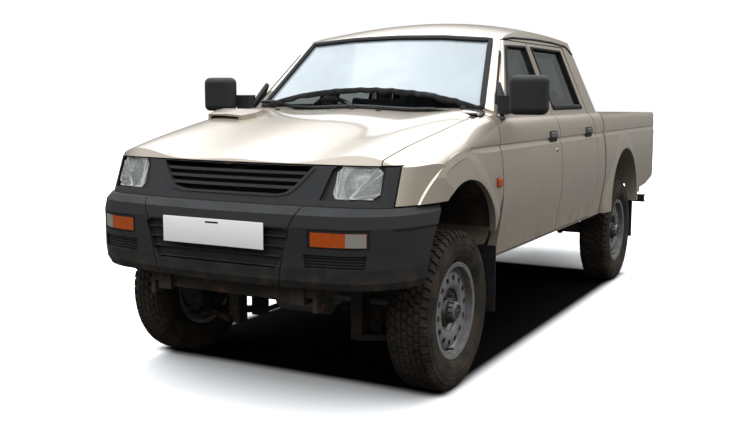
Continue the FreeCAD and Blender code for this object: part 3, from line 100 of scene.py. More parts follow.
class Value:
    """An output socket. Arithmetic on it adds Math nodes, so a mask reads as an expression."""

    def __init__(self, shader: "Shader", socket: bpy.types.NodeSocket) -> None:
        """Keep the socket and the shader that owns it."""
        self.shader = shader
        self.socket = socket

    def _math(self, operation: str, *operands: "Value | float") -> "Value":
        """Add one Math node.

        Args:
            operation: The node's operation.
            operands: Its inputs, in order.

        Returns:
            The node's output.
        """
        return self.shader.node("ShaderNodeMath", {"operation": operation}, dict(enumerate(operands)))

    def __add__(self, other: "Value | float") -> "Value":
        """Sum."""
        return self._math("ADD", self, other)

    __radd__ = __add__

    def __sub__(self, other: "Value | float") -> "Value":
        """Difference."""
        return self._math("SUBTRACT", self, other)

    def __rsub__(self, other: float) -> "Value":
        """Difference from a number."""
        return self._math("SUBTRACT", other, self)

    def __mul__(self, other: "Value | float") -> "Value":
        """Product."""
        return self._math("MULTIPLY", self, other)

    __rmul__ = __mul__

    def __truediv__(self, other: "Value | float") -> "Value":
        """Quotient."""
        return self._math("DIVIDE", self, other)

    def __pow__(self, other: "Value | float") -> "Value":
        """Power."""
        return self._math("POWER", self, other)

    def ramp(self, low: float, high: float) -> "Value":
        """Rise smoothly from 0 at low to 1 at high; low may be the larger.

        Args:
            low: Input that gives 0.
            high: Input that gives 1.

        Returns:
            The mapped value, held between 0 and 1.
        """
        rising = low < high
        ends = (low, high) if rising else (high, low)
        limits = (0.0, 1.0) if rising else (1.0, 0.0)
        return self.shader.node(
            "ShaderNodeMapRange", {"interpolation_type": "SMOOTHSTEP"},
            {0: self, 1: ends[0], 2: ends[1], 3: limits[0], 4: limits[1]})


class Shader:
    """One material while its nodes are added."""

    def __init__(self, name: str, world: bool = False) -> None:
        """Start an empty node tree with an output.

        Args:
            name: The material's or the world's name.
            world: Whether it is a world.
        """
        self.material = (bpy.data.worlds if world else bpy.data.materials).new(name)
        self.material.use_nodes = True
        self.tree = self.material.node_tree
        self.tree.nodes.clear()
        self.output = self.tree.nodes.new("ShaderNodeOutputWorld" if world else "ShaderNodeOutputMaterial")

    def node(self, kind: str, settings: dict | None = None, inputs: dict | None = None,
             output: int | str = 0) -> Value:
        """Add any node.

        Args:
            kind: The node's type.
            settings: Its properties, or the stops of a ramp, set before its sockets.
            inputs: A number, a colour or a link for each named or numbered socket.
            output: The output to hand back.

        Returns:
            That output.
        """
        made = self.tree.nodes.new(kind)
        for name, setting in (settings or {}).items():
            setattr(made, name, setting)
        for name, value in (inputs or {}).items():
            if isinstance(value, Value):
                self.tree.links.new(value.socket, made.inputs[name])
            else:
                made.inputs[name].default_value = value
        return Value(self, made.outputs[output])

    def place(self) -> Value:
        """The point on the piece, in metres in the truck's frame."""
        return self.node("ShaderNodeTexCoord", output="Object")

    def axis(self, letter: str) -> Value:
        """One coordinate of the point on the piece."""
        return self.node("ShaderNodeSeparateXYZ", inputs={0: self.place()}, output=letter)

    def noise(self, scale: float, detail: float = 3.0, stretch: Point = (1, 1, 1)) -> Value:
        """Cloudy variation between 0 and 1.

        Args:
            scale: Features per metre.
            detail: Octaves.
            stretch: Scale of each axis, to draw the clouds out into streaks.

        Returns:
            The noise.
        """
        where = self.node("ShaderNodeVectorMath", {"operation": "MULTIPLY"}, {0: self.place(), 1: stretch})
        return self.node("ShaderNodeTexNoise", inputs={"Vector": where, "Scale": scale, "Detail": detail})

    def cells(self, scale: float) -> Value:
        """Distance to the nearest of many scattered points."""
        return self.node("ShaderNodeTexVoronoi", inputs={"Vector": self.place(), "Scale": scale})

    def wave(self, scale: float, direction: str) -> Value:
        """Even bands across one axis, for flutes, ribs and thread."""
        return self.node("ShaderNodeTexWave", {"bands_direction": direction},
                         {"Vector": self.place(), "Scale": scale})

    def mix(self, share: "Value | float", low: "Value | Colour", high: "Value | Colour") -> Value:
        """Blend two colours.

        Args:
            share: How much of the second colour shows.
            low: The first colour.
            high: The second colour.

        Returns:
            The blended colour.
        """
        ends = [end if isinstance(end, Value) else (*end, 1.0) for end in (low, high)]
        return self.node("ShaderNodeMix", {"data_type": "RGBA"}, {0: share, 6: ends[0], 7: ends[1]}, 2)

    def bump(self, height: Value, depth: float, under: Value | None = None) -> Value:
        """Turn a height into a normal.

        Args:
            height: The height, 0 to 1.
            depth: The real depth in metres.
            under: A normal to add it to.

        Returns:
            The normal.
        """
        inputs = {"Height": height, "Distance": depth}
        if under is not None:
            inputs["Normal"] = under
        return self.node("ShaderNodeBump", inputs=inputs)

    def surface(self, **sockets: "Value | float | Colour") -> Value:
        """Add the main surface shader.

        Args:
            sockets: Values by socket name, with underscores for spaces.

        Returns:
            The shader.
        """
        inputs = {}
        for name, value in sockets.items():
            plain = (*value, 1.0) if isinstance(value, tuple) else value
            inputs[name.replace("_", " ")] = plain
        return self.node("ShaderNodeBsdfPrincipled", inputs=inputs)

    def finish(self, surface: Value) -> bpy.types.Material:
        """Link the shader to the output and hand the material back."""
        self.tree.links.new(surface.socket, self.output.inputs["Surface"])
        return self.material


@dataclass(frozen=True)
class Finish:
    """What every finish has: a name and a colour."""

    name: str
    colour: Colour

    def build(self) -> bpy.types.Material:
        """Make the material; each kind of finish has its own."""
        raise NotImplementedError


ROAD_DUST: Colour = (0.155, 0.115, 0.076)


@dataclass(frozen=True)
class Paint(Finish):
    """Metallic body paint under lacquer, dusty towards the sills."""

    dust_top: float = 0.80
    dust_bottom: float = 0.50

    def build(self) -> bpy.types.Material:
        """Flakes and cloudy variation under a clear coat that the dust dulls."""
        shader = Shader(self.name)
        flake = shader.cells(2600).ramp(0.0, 0.8)
        cloud = shader.noise(1.6, 4)
        dust = shader.axis("Z").ramp(self.dust_top, self.dust_bottom) * shader.noise(9, 6).ramp(0.30, 0.72)
        film = shader.noise(3.5, 5).ramp(0.35, 0.8) * 0.10
        darker = tuple(part * 0.90 for part in self.colour)
        lighter = tuple(min(1.0, part * 1.07) for part in self.colour)
        base = shader.mix(flake * 0.35 + cloud * 0.45, darker, lighter)
        base = shader.mix(dust * 0.75 + film, base, ROAD_DUST)
        peel = shader.bump(shader.noise(240, 2), 0.00012)
        return shader.finish(shader.surface(
            Base_Color=base, Metallic=0.55 - dust * 0.5, Roughness=dust * 0.35 + film + 0.34,
            Coat_Weight=1 - dust * 0.9, Coat_Roughness=0.06, Normal=peel))


@dataclass(frozen=True)
class Plastic(Finish):
    """Grained black moulding that has greyed in the sun."""

    roughness: float = 0.62
    grain: float = 900.0
    faded: float = 0.25

    def build(self) -> bpy.types.Material:
        """Leather-like grain, chalky patches and a little dust."""
        shader = Shader(self.name)
        chalk = shader.noise(7, 5).ramp(0.35, 0.75)
        pale = tuple(part + 0.014 for part in self.colour)
        dust = shader.axis("Z").ramp(0.72, 0.40) * shader.noise(14, 5).ramp(0.35, 0.75)
        base = shader.mix(chalk * self.faded, self.colour, pale)
        base = shader.mix(dust * 0.45, base, ROAD_DUST)
        leather = shader.bump(shader.cells(self.grain), 0.0004)
        return shader.finish(shader.surface(
            Base_Color=base, Roughness=self.roughness + chalk * 0.12, Specular_IOR_Level=0.42,
            Normal=leather))


@dataclass(frozen=True)
class Rubber(Finish):
    """Soft black seal or flap."""

    def build(self) -> bpy.types.Material:
        """Matt rubber with light bloom and dust."""
        shader = Shader(self.name)
        bloom = shader.noise(30, 4).ramp(0.4, 0.8)
        base = shader.mix(bloom * 0.08, self.colour, ROAD_DUST)
        return shader.finish(shader.surface(
            Base_Color=base, Roughness=bloom * 0.15 + 0.7, Specular_IOR_Level=0.2,
            Normal=shader.bump(shader.noise(400, 3), 0.0003)))


@dataclass(frozen=True)
class TyreRubber(Finish):
    """Worn tyre with brown dust in its grooves and on its walls."""

    def build(self) -> bpy.types.Material:
        """Dust in large and fine patches over the rubber, with a fine bump."""
        shader = Shader(self.name)
        patch = shader.noise(12, 6).ramp(0.30, 0.72)
        fine = shader.noise(90, 4).ramp(0.35, 0.7)
        base = shader.mix(patch * 0.55 + fine * 0.2, self.colour, (0.060, 0.046, 0.032))
        height = shader.noise(260, 4)
        return shader.finish(shader.surface(
            Base_Color=base, Roughness=patch * 0.1 + 0.8, Specular_IOR_Level=0.12,
            Normal=shader.bump(height, 0.0006)))


@dataclass(frozen=True)
class WheelSteel(Finish):
    """Silver-painted steel wheel under brake dust."""

    def build(self) -> bpy.types.Material:
        """Grime by noise over a tired silver lacquer."""
        shader = Shader(self.name)
        grime = shader.noise(18, 6).ramp(0.36, 0.70)
        streak = shader.noise(60, 5).ramp(0.45, 0.8)
        base = shader.mix(grime * 0.62 + streak * 0.2, self.colour, (0.075, 0.062, 0.05))
        return shader.finish(shader.surface(
            Base_Color=base, Metallic=0.4 - grime * 0.3, Roughness=grime * 0.25 + 0.42,
            Specular_IOR_Level=0.25,
            Normal=shader.bump(shader.noise(300, 3), 0.0003)))


@dataclass(frozen=True)
class Ironwork(Finish):
    """Black-painted or cast running gear, dusty and rusting."""

    rust: float = 0.35
    roughness: float = 0.7

    def build(self) -> bpy.types.Material:
        """Dust over paint with rust breaking through."""
        shader = Shader(self.name)
        dust = shader.noise(6, 6).ramp(0.35, 0.75)
        rust = shader.noise(22, 6).ramp(0.56, 0.70) * self.rust
        base = shader.mix(dust * 0.3, self.colour, ROAD_DUST)
        base = shader.mix(rust, base, (0.23, 0.085, 0.03))
        height = shader.noise(120, 5)
        return shader.finish(shader.surface(
            Base_Color=base, Roughness=self.roughness + dust * 0.2, Metallic=0.25,
            Normal=shader.bump(height, 0.0008)))


@dataclass(frozen=True)
class Glazing(Finish):
    """Window glass with a thin film of dust and a painted sky reflection: a pale blue-grey sheen laid over
    it.
    """

    film: float = 0.2
    dust_and_sky_colour: Colour = (0.36, 0.43, 0.47)

    def build(self) -> bpy.types.Material:
        """Tinted glass mixed with a pale blue-grey film that is partly dust and partly painted sky
        reflection, thicker in soft patches.
        """
        shader = Shader(self.name)
        glass = shader.surface(Base_Color=self.colour, Roughness=0.0, IOR=1.45, Transmission_Weight=1.0)
        # Pale blue-grey coated surface: a dust film and a painted sky reflection together.
        dust_and_sky_haze = shader.surface(Base_Color=self.dust_and_sky_colour, Roughness=0.25, Coat_Weight=1.0)
        patch = shader.noise(2.2, 5).ramp(0.25, 0.8)
        share = patch * (self.film * 0.35) + self.film * 0.82
        return shader.finish(shader.node("ShaderNodeMixShader", inputs={0: share, 1: glass, 2: dust_and_sky_haze}))


@dataclass(frozen=True)
class Lens(Finish):
    """Clear or coloured lamp cover with moulded flutes."""

    flutes: float = 60.0
    transmission: float = 0.9
    roughness: float = 0.06

    def build(self) -> bpy.types.Material:
        """Upright flutes as bump over tinted glass."""
        shader = Shader(self.name)
        flutes = shader.wave(self.flutes, "X")
        dust = shader.noise(40, 4).ramp(0.45, 0.85)
        base = shader.mix(dust * 0.18, self.colour, ROAD_DUST)
        return shader.finish(shader.surface(
            Base_Color=base, Roughness=self.roughness + dust * 0.12, IOR=1.45, Specular_IOR_Level=0.3,
            Transmission_Weight=self.transmission, Normal=shader.bump(flutes, 0.0004)))


@dataclass(frozen=True)
class Chrome(Finish):
    """Bright metal of reflectors, studs and locks."""

    roughness: float = 0.12

    def build(self) -> bpy.types.Material:
        """Plated metal with faint cloudiness."""
        shader = Shader(self.name)
        cloud = shader.noise(50, 4)
        return shader.finish(shader.surface(
            Base_Color=self.colour, Metallic=1.0, Roughness=cloud * 0.1 + self.roughness,
            Normal=shader.bump(shader.noise(500, 2), 0.0001)))


@dataclass(frozen=True)
class Cloth(Finish):
    """Woven seat cloth."""

    threads: float = 420.0

    def build(self) -> bpy.types.Material:
        """Two crossed sets of threads with a mottled dye."""
        shader = Shader(self.name)
        weave = shader.wave(self.threads, "X") * 0.5 + shader.wave(self.threads, "Z") * 0.5
        mottle = shader.noise(25, 4)
        paler = tuple(part * 1.5 for part in self.colour)
        base = shader.mix(mottle * 0.6 + weave * 0.3, self.colour, paler)
        return shader.finish(shader.surface(
            Base_Color=base, Roughness=0.92, Sheen_Weight=0.25, Normal=shader.bump(weave, 0.0006)))


class Look(Enum):
    """Every finish on the truck."""

    PAINT = Paint("champagne_paint", (0.44, 0.385, 0.315))
    BLACK_PLASTIC = Plastic("black_moulding", (0.006, 0.0065, 0.0072))
    GREY_PLASTIC = Plastic("cabin_moulding", (0.085, 0.088, 0.092), 0.7)
    SEAL = Rubber("rubber_seal", (0.012, 0.012, 0.013))
    TYRE = TyreRubber("dusty_tyre", (0.014, 0.013, 0.012))
    WHEEL = WheelSteel("silver_wheel", (0.21, 0.21, 0.215))
    HUB = WheelSteel("hub_iron", (0.032, 0.030, 0.028))
    FRAME = Ironwork("frame_paint", (0.018, 0.017, 0.016))
    CASTING = Ironwork("grey_casting", (0.16, 0.155, 0.15), 0.2)
    EXHAUST = Ironwork("exhaust_steel", (0.14, 0.11, 0.09), 0.6)
    # The windscreen carries a heavy pale film: dust and painted sky reflection.
    SCREEN = Glazing("windscreen_glass", (0.68, 0.80, 0.84), 0.58)
    SIDE_GLASS = Glazing("side_glass", (0.20, 0.23, 0.23), 0.008)
    LAMP_GLASS = Lens("lamp_cover", (0.86, 0.88, 0.88))
    AMBER = Lens("amber_cover", (0.36, 0.060, 0.006), 90, 0.0, 0.22)
    RED = Lens("red_lens", (0.55, 0.01, 0.01), 90, 0.3, 0.1)
    CHROME = Chrome("bright_metal", (0.45, 0.455, 0.46))
    PLATE = Plastic("blank_plate", (0.80, 0.80, 0.79), 0.35, 500, 0.1)
    REFLECTOR = Chrome("lamp_reflector", (0.40, 0.40, 0.395), 0.22)
    GASKET = Plastic("lamp_gasket", (0.42, 0.42, 0.40), 0.5, 600, 0.2)
    CLEAR_LENS = Lens("clear_lens", (0.24, 0.225, 0.20), 90, 0.0, 0.22)
    SEAT = Cloth("seat_cloth", (0.075, 0.08, 0.09))

    @functools.cache
    def material(self) -> bpy.types.Material:
        """The finish's material, made once."""
        return self.value.build()


def is_any(name: str, words: Sequence[str]) -> bool:
    """Whether a node's name holds one of some words."""
    return any(word in name for word in words)


Skin = tuple[str, ...]
PAIRS: tuple[tuple[int, str], ...] = ((1, "left"), (-1, "right"))
DOORS: tuple[str, ...] = ("front", "rear")
SMOOTH_ANGLE = math.radians(42)
OVERLAP = 0.0015
SIDE_START = 1.4
FRONT_START = -3.2
EDGE_INSET = 0.003
SIDE_GLASS_DEPTH = 0.0145
SCREEN_DEPTH = 0.0095
STEP_LENGTH = 0.03


def half_round(width: float, height: float, sink: float = OVERLAP) -> list[tuple[float, float]]:
    """Section of a domed strip that sinks a little into what carries it.

    Args:
        width: Its width.
        height: How far it stands proud.
        sink: How far it reaches down.

    Returns:
        Points across and up.
    """
    half = width / 2
    return [(-half, -sink), (-half, height * 0.35), (-half * 0.62, height * 0.88), (0.0, height),
            (half * 0.62, height * 0.88), (half, height * 0.35), (half, -sink)]


def ring_section(radius: float, sides: int = 8) -> list[tuple[float, float]]:
    """Section of a round bar."""
    return [(radius * math.cos(math.tau * step / sides), radius * math.sin(math.tau * step / sides))
            for step in range(sides)]


@dataclass
class Shape:
    """Points and faces gathered for one mesh."""

    points: list[Vector] = field(default_factory=list)
    faces: list[tuple[int, ...]] = field(default_factory=list)

    def add(self, points: Sequence[Vector], faces: Iterable[Sequence[int]]) -> None:
        """Append points and the faces between them."""
        start = len(self.points)
        self.points += [Vector(point) for point in points]
        self.faces += [tuple(start + index for index in face) for face in faces]

    def grid(self, rows: Sequence[Sequence[Vector]], loop: bool = False, ring: bool = False,
             caps: bool = False) -> None:
        """Join rows of points with quads.

        Args:
            rows: Rows of equal length.
            loop: Whether the last row joins the first.
            ring: Whether each row's last point joins its first.
            caps: Whether the first and last rows are closed by a face.
        """
        count = len(rows[0])
        across = count if ring else count - 1
        down = len(rows) if loop else len(rows) - 1
        faces: list[tuple[int, ...]] = []
        for row in range(down):
            below = (row + 1) % len(rows)
            for column in range(across):
                beside = (column + 1) % count
                faces.append((row * count + column, row * count + beside,
                              below * count + beside, below * count + column))
        if caps:
            last = (len(rows) - 1) * count
            faces += [tuple(range(count)), tuple(range(last, last + count))]
        self.add([point for row in rows for point in row], faces)

    def bar(self, path: Sequence[Vector], normals: Sequence[Vector], section: Sequence[tuple[float, float]],
            closed: bool = False) -> None:
        """Carry a section along a path.

        Args:
            path: Points along the middle of the bar's foot.
            normals: Which way is up at each point.
            section: Points across and up.
            closed: Whether the path comes back to its start.
        """
        rows = []
        count = len(path)
        for index, (point, normal) in enumerate(zip(path, normals)):
            after = path[(index + 1) % count] if closed else path[min(index + 1, count - 1)]
            before = path[index - 1] if closed or index else path[0]
            along = (after - before).normalized()
            side = along.cross(normal).normalized()
            up = side.cross(along)
            rows.append([point + side * across + up * height for across, height in section])
        self.grid(rows, loop=closed, ring=True, caps=not closed)

    def drum(self, base: Vector, axis: Vector, profile: Sequence[tuple[float, float]], sides: int,
             closed: bool = False) -> None:
        """Turn a profile about an axis.

        Args:
            base: A point on the axis.
            axis: The axis.
            profile: Distances along the axis from the base, each with a radius.
            sides: Number of steps in a turn.
            closed: Whether the profile is a loop, as a tyre's is.
        """
        axis = axis.normalized()
        first = axis.orthogonal().normalized()
        second = axis.cross(first)
        rows = []
        for along, radius in profile:
            middle = base + axis * along
            rows.append([middle + first * (radius * math.cos(math.tau * step / sides))
                         + second * (radius * math.sin(math.tau * step / sides)) for step in range(sides)])
        self.grid(rows, loop=closed, ring=True, caps=not closed)

    def block(self, place: Matrix, size: Point, rounding: float) -> None:
        """Add a box with rounded edges.

        Args:
            place: Its centre and turn.
            size: Its three sizes.
            rounding: The radius of its edges.
        """
        solid = bmesh.new()
        bmesh.ops.create_cube(solid, size=1.0)
        bmesh.ops.scale(solid, vec=size, verts=solid.verts)
        bmesh.ops.bevel(solid, geom=solid.edges[:], offset=rounding, segments=3, profile=0.5, affect="EDGES")
        solid.transform(place)
        solid.verts.ensure_lookup_table()
        self.add([vertex.co.copy() for vertex in solid.verts],
                 [[vertex.index for vertex in face.verts] for face in solid.faces])
        solid.free()

    def make(self, name: str, look: "Look", body: str) -> bpy.types.Object:
        """Turn what was gathered into a piece that rides on a body.

        Args:
            name: The piece's name.
            look: Its finish.
            body: The body that it rides on.

        Returns:
            The piece.
        """
        mesh = bpy.data.meshes.new(name)
        mesh.from_pydata([tuple(point) for point in self.points], [], self.faces)
        mesh.validate()
        solid = bmesh.new()
        solid.from_mesh(mesh)
        bmesh.ops.recalc_face_normals(solid, faces=solid.faces)
        solid.to_mesh(mesh)
        solid.free()
        mesh.materials.append(look.material())
        mesh.shade_smooth()
        mesh.set_sharp_from_angle(angle=SMOOTH_ANGLE)
        made = bpy.data.objects.new(name, mesh)
        bpy.context.collection.objects.link(made)
        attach(made, body)
        return made


@dataclass(frozen=True)
class PhotoCamera:
    """The camera fitted to the photograph."""

    eye: Point = (2.411, -5.5345, 1.328)
    yaw: float = 28.09
    pitch: float = -7.04
    roll: float = 0.16
    lens: float = 44.6
    sensor: float = 36.0
    photo: tuple[float, float] = (750.0, 422.0)

    def matrix(self) -> Matrix:
        """The camera's place and turn."""
        turn = Matrix.Rotation(math.radians(self.yaw), 4, "Z")
        tip = Matrix.Rotation(math.radians(90 + self.pitch), 4, "X")
        lean = Matrix.Rotation(math.radians(self.roll), 4, "Z")
        return Matrix.Translation(self.eye) @ turn @ tip @ lean

    def ray(self, pixel: Pixel) -> Vector:
        """The direction in which a pixel of the photograph lies."""
        width, height = self.photo
        reach = self.lens / self.sensor * width
        local = Vector(((pixel[0] - width / 2) / reach, (height / 2 - pixel[1]) / reach, -1.0))
        return (self.matrix().to_3x3() @ local).normalized()


@dataclass(frozen=True)
class Spot:
    """A point on a surface with its own directions: along the truck, up the surface and out of it."""

    point: Vector
    out: Vector

    def matrix(self) -> Matrix:
        """Local X runs along the truck, local Y up the surface and local Z out of it."""
        along = Vector((0, 1, 0))
        along = (along - self.out * along.dot(self.out)).normalized()
        up = self.out.cross(along)
        if up.z < 0:
            up = -up
        turn = Matrix((along, up, self.out)).transposed().to_4x4()
        return Matrix.Translation(self.point) @ turn

    def level(self, y: float, z: float) -> Vector:
        """The point of the spot's plane at a place along the truck and a height."""
        x = self.point.x - (self.out.y * (y - self.point.y) + self.out.z * (z - self.point.z)) / self.out.x
        return Vector((x, y, z))

    def mirrored(self) -> "Spot":
        """The same spot on the truck's other side."""
        flip = Vector((-1, 1, 1))
        return Spot(self.point * flip, self.out * flip)


@dataclass
class Truck:
    """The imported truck: where its parts are and where their surfaces lie."""

    nodes: dict[str, bpy.types.Object]
    camera: PhotoCamera = PhotoCamera()
    trees: dict[Skin, BVHTree] = field(default_factory=dict)

    def corners(self, node: str) -> tuple[Vector, Vector]:
        """The lowest and highest corners of a node."""
        low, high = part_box(node)
        return Vector(low), Vector(high)

    def centre(self, node: str) -> Vector:
        """The middle of a node."""
        low, high = self.corners(node)
        return (low + high) / 2

    @property
    def front(self) -> float:
        """Where the truck's front lies."""
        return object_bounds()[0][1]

    @property
    def front_axle(self) -> float:
        """Where the front axle lies."""
        return self.centre("front_left_wheel").y

    def tree(self, names: Skin) -> BVHTree:
        """A search tree over some nodes' faces, made once.

        Args:
            names: The nodes.

        Returns:
            The tree.
        """
        if names not in self.trees:
            points: list[Vector] = []
            faces: list[list[int]] = []
            for name in names:
                mesh = self.nodes[name].data
                start = len(points)
                points += [vertex.co.copy() for vertex in mesh.vertices]
                faces += [[start + index for index in face.vertices] for face in mesh.polygons]
            self.trees[names] = BVHTree.FromPolygons(points, faces)
        return self.trees[names]

    def land(self, start: Vector, along: Vector, names: Skin) -> Spot:
        """Follow a ray to the first of some nodes.

        Args:
            start: Where the ray starts.
            along: Where it goes.
            names: The nodes that can stop it.

        Returns:
            The spot that it meets; where it meets nothing, the nearest spot to its start.
        """
        where, normal, _, _ = self.tree(names).ray_cast(start, along)
        if where is None:
            where, normal, _, _ = self.tree(names).find_nearest(start)
        if normal.dot(along) > 0:
            normal = -normal
        return Spot(where, normal)

    def seen(self, pixel: Pixel, names: Skin) -> Spot:
        """The spot of some nodes that shows at a pixel of the photograph."""
        return self.land(Vector(self.camera.eye), self.camera.ray(pixel), names)

    def side_path(self, ring: Sequence[tuple[float, float]], side: int, names: Skin) -> list[Spot]:
        """Lay an outline of (y, z) points on one side of the truck.

        Args:
            ring: The outline.
            side: 1 for the left, -1 for the right.
            names: The nodes that carry it.

        Returns:
            A spot for each point.
        """
        return [self.land(Vector((side * SIDE_START, y, z)), Vector((-side, 0, 0)), names) for y, z in ring]

    def front_path(self, ring: Sequence[tuple[float, float]], names: Skin) -> list[Spot]:
        """Lay an outline of (x, z) points on the truck's front."""
        return [self.land(Vector((x, FRONT_START, z)), Vector((0, 1, 0)), names) for x, z in ring]


def outline(points: Iterable[tuple[float, float]], grow: float = 0.0) -> list[tuple[float, float]]:
    """The hull of some flat points, grown and divided into short steps.

    Args:
        points: The points.
        grow: How far to move the hull outwards.

    Returns:
        The outline's points in order.
    """
    flat = [Vector(point) for point in points]
    hull = [flat[index] for index in geometry.convex_hull_2d(flat)]
    middle = sum(hull, Vector((0, 0))) / len(hull)
    moved = []
    for index, corner in enumerate(hull):
        before = (corner - hull[index - 1]).normalized()
        after = (hull[(index + 1) % len(hull)] - corner).normalized()
        out = Vector((before.y + after.y, -before.x - after.x)).normalized()
        if out.dot(corner - middle) < 0:
            out = -out
        moved.append(corner + out * grow)
    steps = []
    for index, corner in enumerate(moved):
        after = moved[(index + 1) % len(moved)]
        count = max(1, round((after - corner).length / STEP_LENGTH))
        steps += [tuple(corner.lerp(after, step / count)) for step in range(count)]
    return steps


def run_through(corners: Sequence[tuple[float, float]]) -> list[tuple[float, float]]:
    """Divide an open line of flat points into short steps.

    Args:
        corners: The line's points.

    Returns:
        Its points and those between them.
    """
    steps = []
    for start, end in zip(corners, corners[1:]):
        first, last = Vector(start), Vector(end)
        count = max(1, round((last - first).length / STEP_LENGTH))
        steps += [tuple(first.lerp(last, step / count)) for step in range(count)]
    return steps + [tuple(corners[-1])]


def strip_on(spots: Sequence[Spot], section: Sequence[tuple[float, float]], closed: bool = False,
             lift: float = 0.0) -> Shape:
    """A strip that follows spots on a surface.

    Args:
        spots: Where it runs.
        section: Its section, across and up.
        closed: Whether it comes back to its start.
        lift: How far it is lifted off the surface to reach over a step.

    Returns:
        The strip's shape.
    """
    shape = Shape()
    shape.bar([spot.point + spot.out * lift for spot in spots], [spot.out for spot in spots], section, closed)
    return shape


@dataclass
class Tyre:
    """An all-terrain tyre: carcass, ringed walls and tread blocks."""

    body: str
    node: str
    wall_share: tuple[tuple[float, float], ...] = (
        (0.0, 1.0), (0.40, 1.0), (0.62, 0.9985), (0.79, 0.986), (0.885, 0.951), (0.94, 0.912), (0.97, 0.874),
        (1.0, 0.773), (0.92, 0.674), (0.80, 0.612))
    rows: tuple[tuple[float, float, float], ...] = (
        (0.0, 0.0125, 0.0), (0.0175, 0.0385, 0.5), (0.0435, 0.067, 0.15), (0.0715, 0.108, 0.6))
    pitches: int = 54
    block_share: float = 0.70
    skew_share: float = 0.16
    depth: float = 0.009
    rings: tuple[tuple[float, float], ...] = ((0.138, 0.142), (0.190, 0.196))
    ring_height: float = 0.0014
    sides: int = 108
    profile_step: float = 0.009
    shoulder_gap: float = 0.004
    ring_edge: float = 0.001
    wall_lengths: tuple[float, ...] = (0.160, 0.170, 0.180, 0.205, 0.215, 0.225)
    bead_inset: tuple[float, float] = (0.012, 0.004)
    foot_share: float = 1.08

    def wall(self, length: float, half: float, radius: float) -> tuple[Vector, Vector]:
        """Find a place on the outer wall.

        Args:
            length: How far along the wall from the crown's middle.
            half: Half the tyre's width.
            radius: Its radius.

        Returns:
            The place and the outward direction, each as (across, radius).
        """
        corners = [Vector((x * half, r * radius)) for x, r in self.wall_share]
        left = abs(length)
        for start, end in zip(corners, corners[1:]):
            reach = (end - start).length
            if left <= reach or end is corners[-1]:
                along = (end - start) / reach
                place = start + along * min(left, reach)
                out = Vector((-along.y, along.x))
                break
            left -= reach
        if length < 0:
            place.x, out.x = -place.x, -out.x
        return place, out

    def build(self, truck: Truck) -> None:
        """Make the tyre in place of its node.

        Args:
            truck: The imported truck.
        """
        low, high = truck.corners(self.node)
        centre = (low + high) / 2
        half = (high.x - low.x) / 2
        radius = (high.z - low.z) / 2
        shape = Shape()
        shape.drum(centre, Vector((1, 0, 0)), self.profile(half, radius), self.sides, closed=True)
        for start, end, phase in self.rows:
            for sign in (1, -1) if start else (1,):
                first = start if start else -end
                for step in range(self.pitches):
                    turn = math.tau * (step + phase + (0.5 if sign < 0 else 0)) / self.pitches
                    self.add_block(shape, centre, (half, radius), (first * sign, end * sign), turn)
        tyre = shape.make(self.node + "_tread", Look.TYRE, self.body)
        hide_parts(self.node)

    def profile(self, half: float, radius: float) -> list[tuple[float, float]]:
        """The carcass's section, sunk under the blocks and raised at the rings.

        Args:
            half: Half the tyre's width.
            radius: Its radius.

        Returns:
            Points along the axle, each with a radius.
        """
        tread_end = self.rows[-1][1]
        count = int(tread_end / self.profile_step) + 1
        lengths = [step * self.profile_step for step in range(count)] + [tread_end + self.shoulder_gap]
        lengths += [length for ring in self.rings
                    for length in (ring[0] - self.ring_edge, *ring, ring[1] + self.ring_edge)]
        lengths += self.wall_lengths
        right = []
        for length in sorted(lengths):
            place, out = self.wall(length, half, radius)
            lift = -self.depth if length <= tread_end else 0.0
            if any(ring[0] <= length <= ring[1] for ring in self.rings):
                lift = self.ring_height
            place = place + out * lift
            right.append((place.x, place.y))
        inner = [(right[-1][0] - self.bead_inset[0], right[-1][1] - self.bead_inset[1])]
        left = [(-x, r) for x, r in reversed(right[1:] + inner)]
        return left + right + inner

    def add_block(self, shape: Shape, centre: Vector, size: tuple[float, float], span: tuple[float, float],
                  turn: float) -> None:
        """Add one tread block.

        Args:
            shape: The tyre's shape.
            centre: The wheel's centre.
            size: Half the tyre's width, and its radius.
            span: Where the block starts and ends along the wall.
            turn: Its angle.
        """
        steps = 4 if abs(span[1]) == self.rows[-1][1] else 2
        wide = math.tau / self.pitches * self.block_share / 2
        skew = math.tau / self.pitches * self.skew_share
        foot, sink = wide * self.foot_share, -self.depth - OVERLAP
        rows = []
        for step in range(steps + 1):
            share = step / steps
            place, out = self.wall(span[0] + (span[1] - span[0]) * share, *size)
            lean = turn + skew * (share - 0.5) * (1 if span[1] > 0 else -1)
            row = []
            for angle, lift in ((-foot, sink), (-wide, 0.0), (wide, 0.0), (foot, sink)):
                at = place + out * lift
                turned = lean + angle
                row.append(centre + Vector((at.x, at.y * math.cos(turned), at.y * math.sin(turned))))
            rows.append(row)
        shape.grid(rows)
        count = len(shape.points)
        first = count - 4 * (steps + 1)
        shape.faces += [(start, start + 1, start + 2, start + 3) for start in (first, count - 4)]


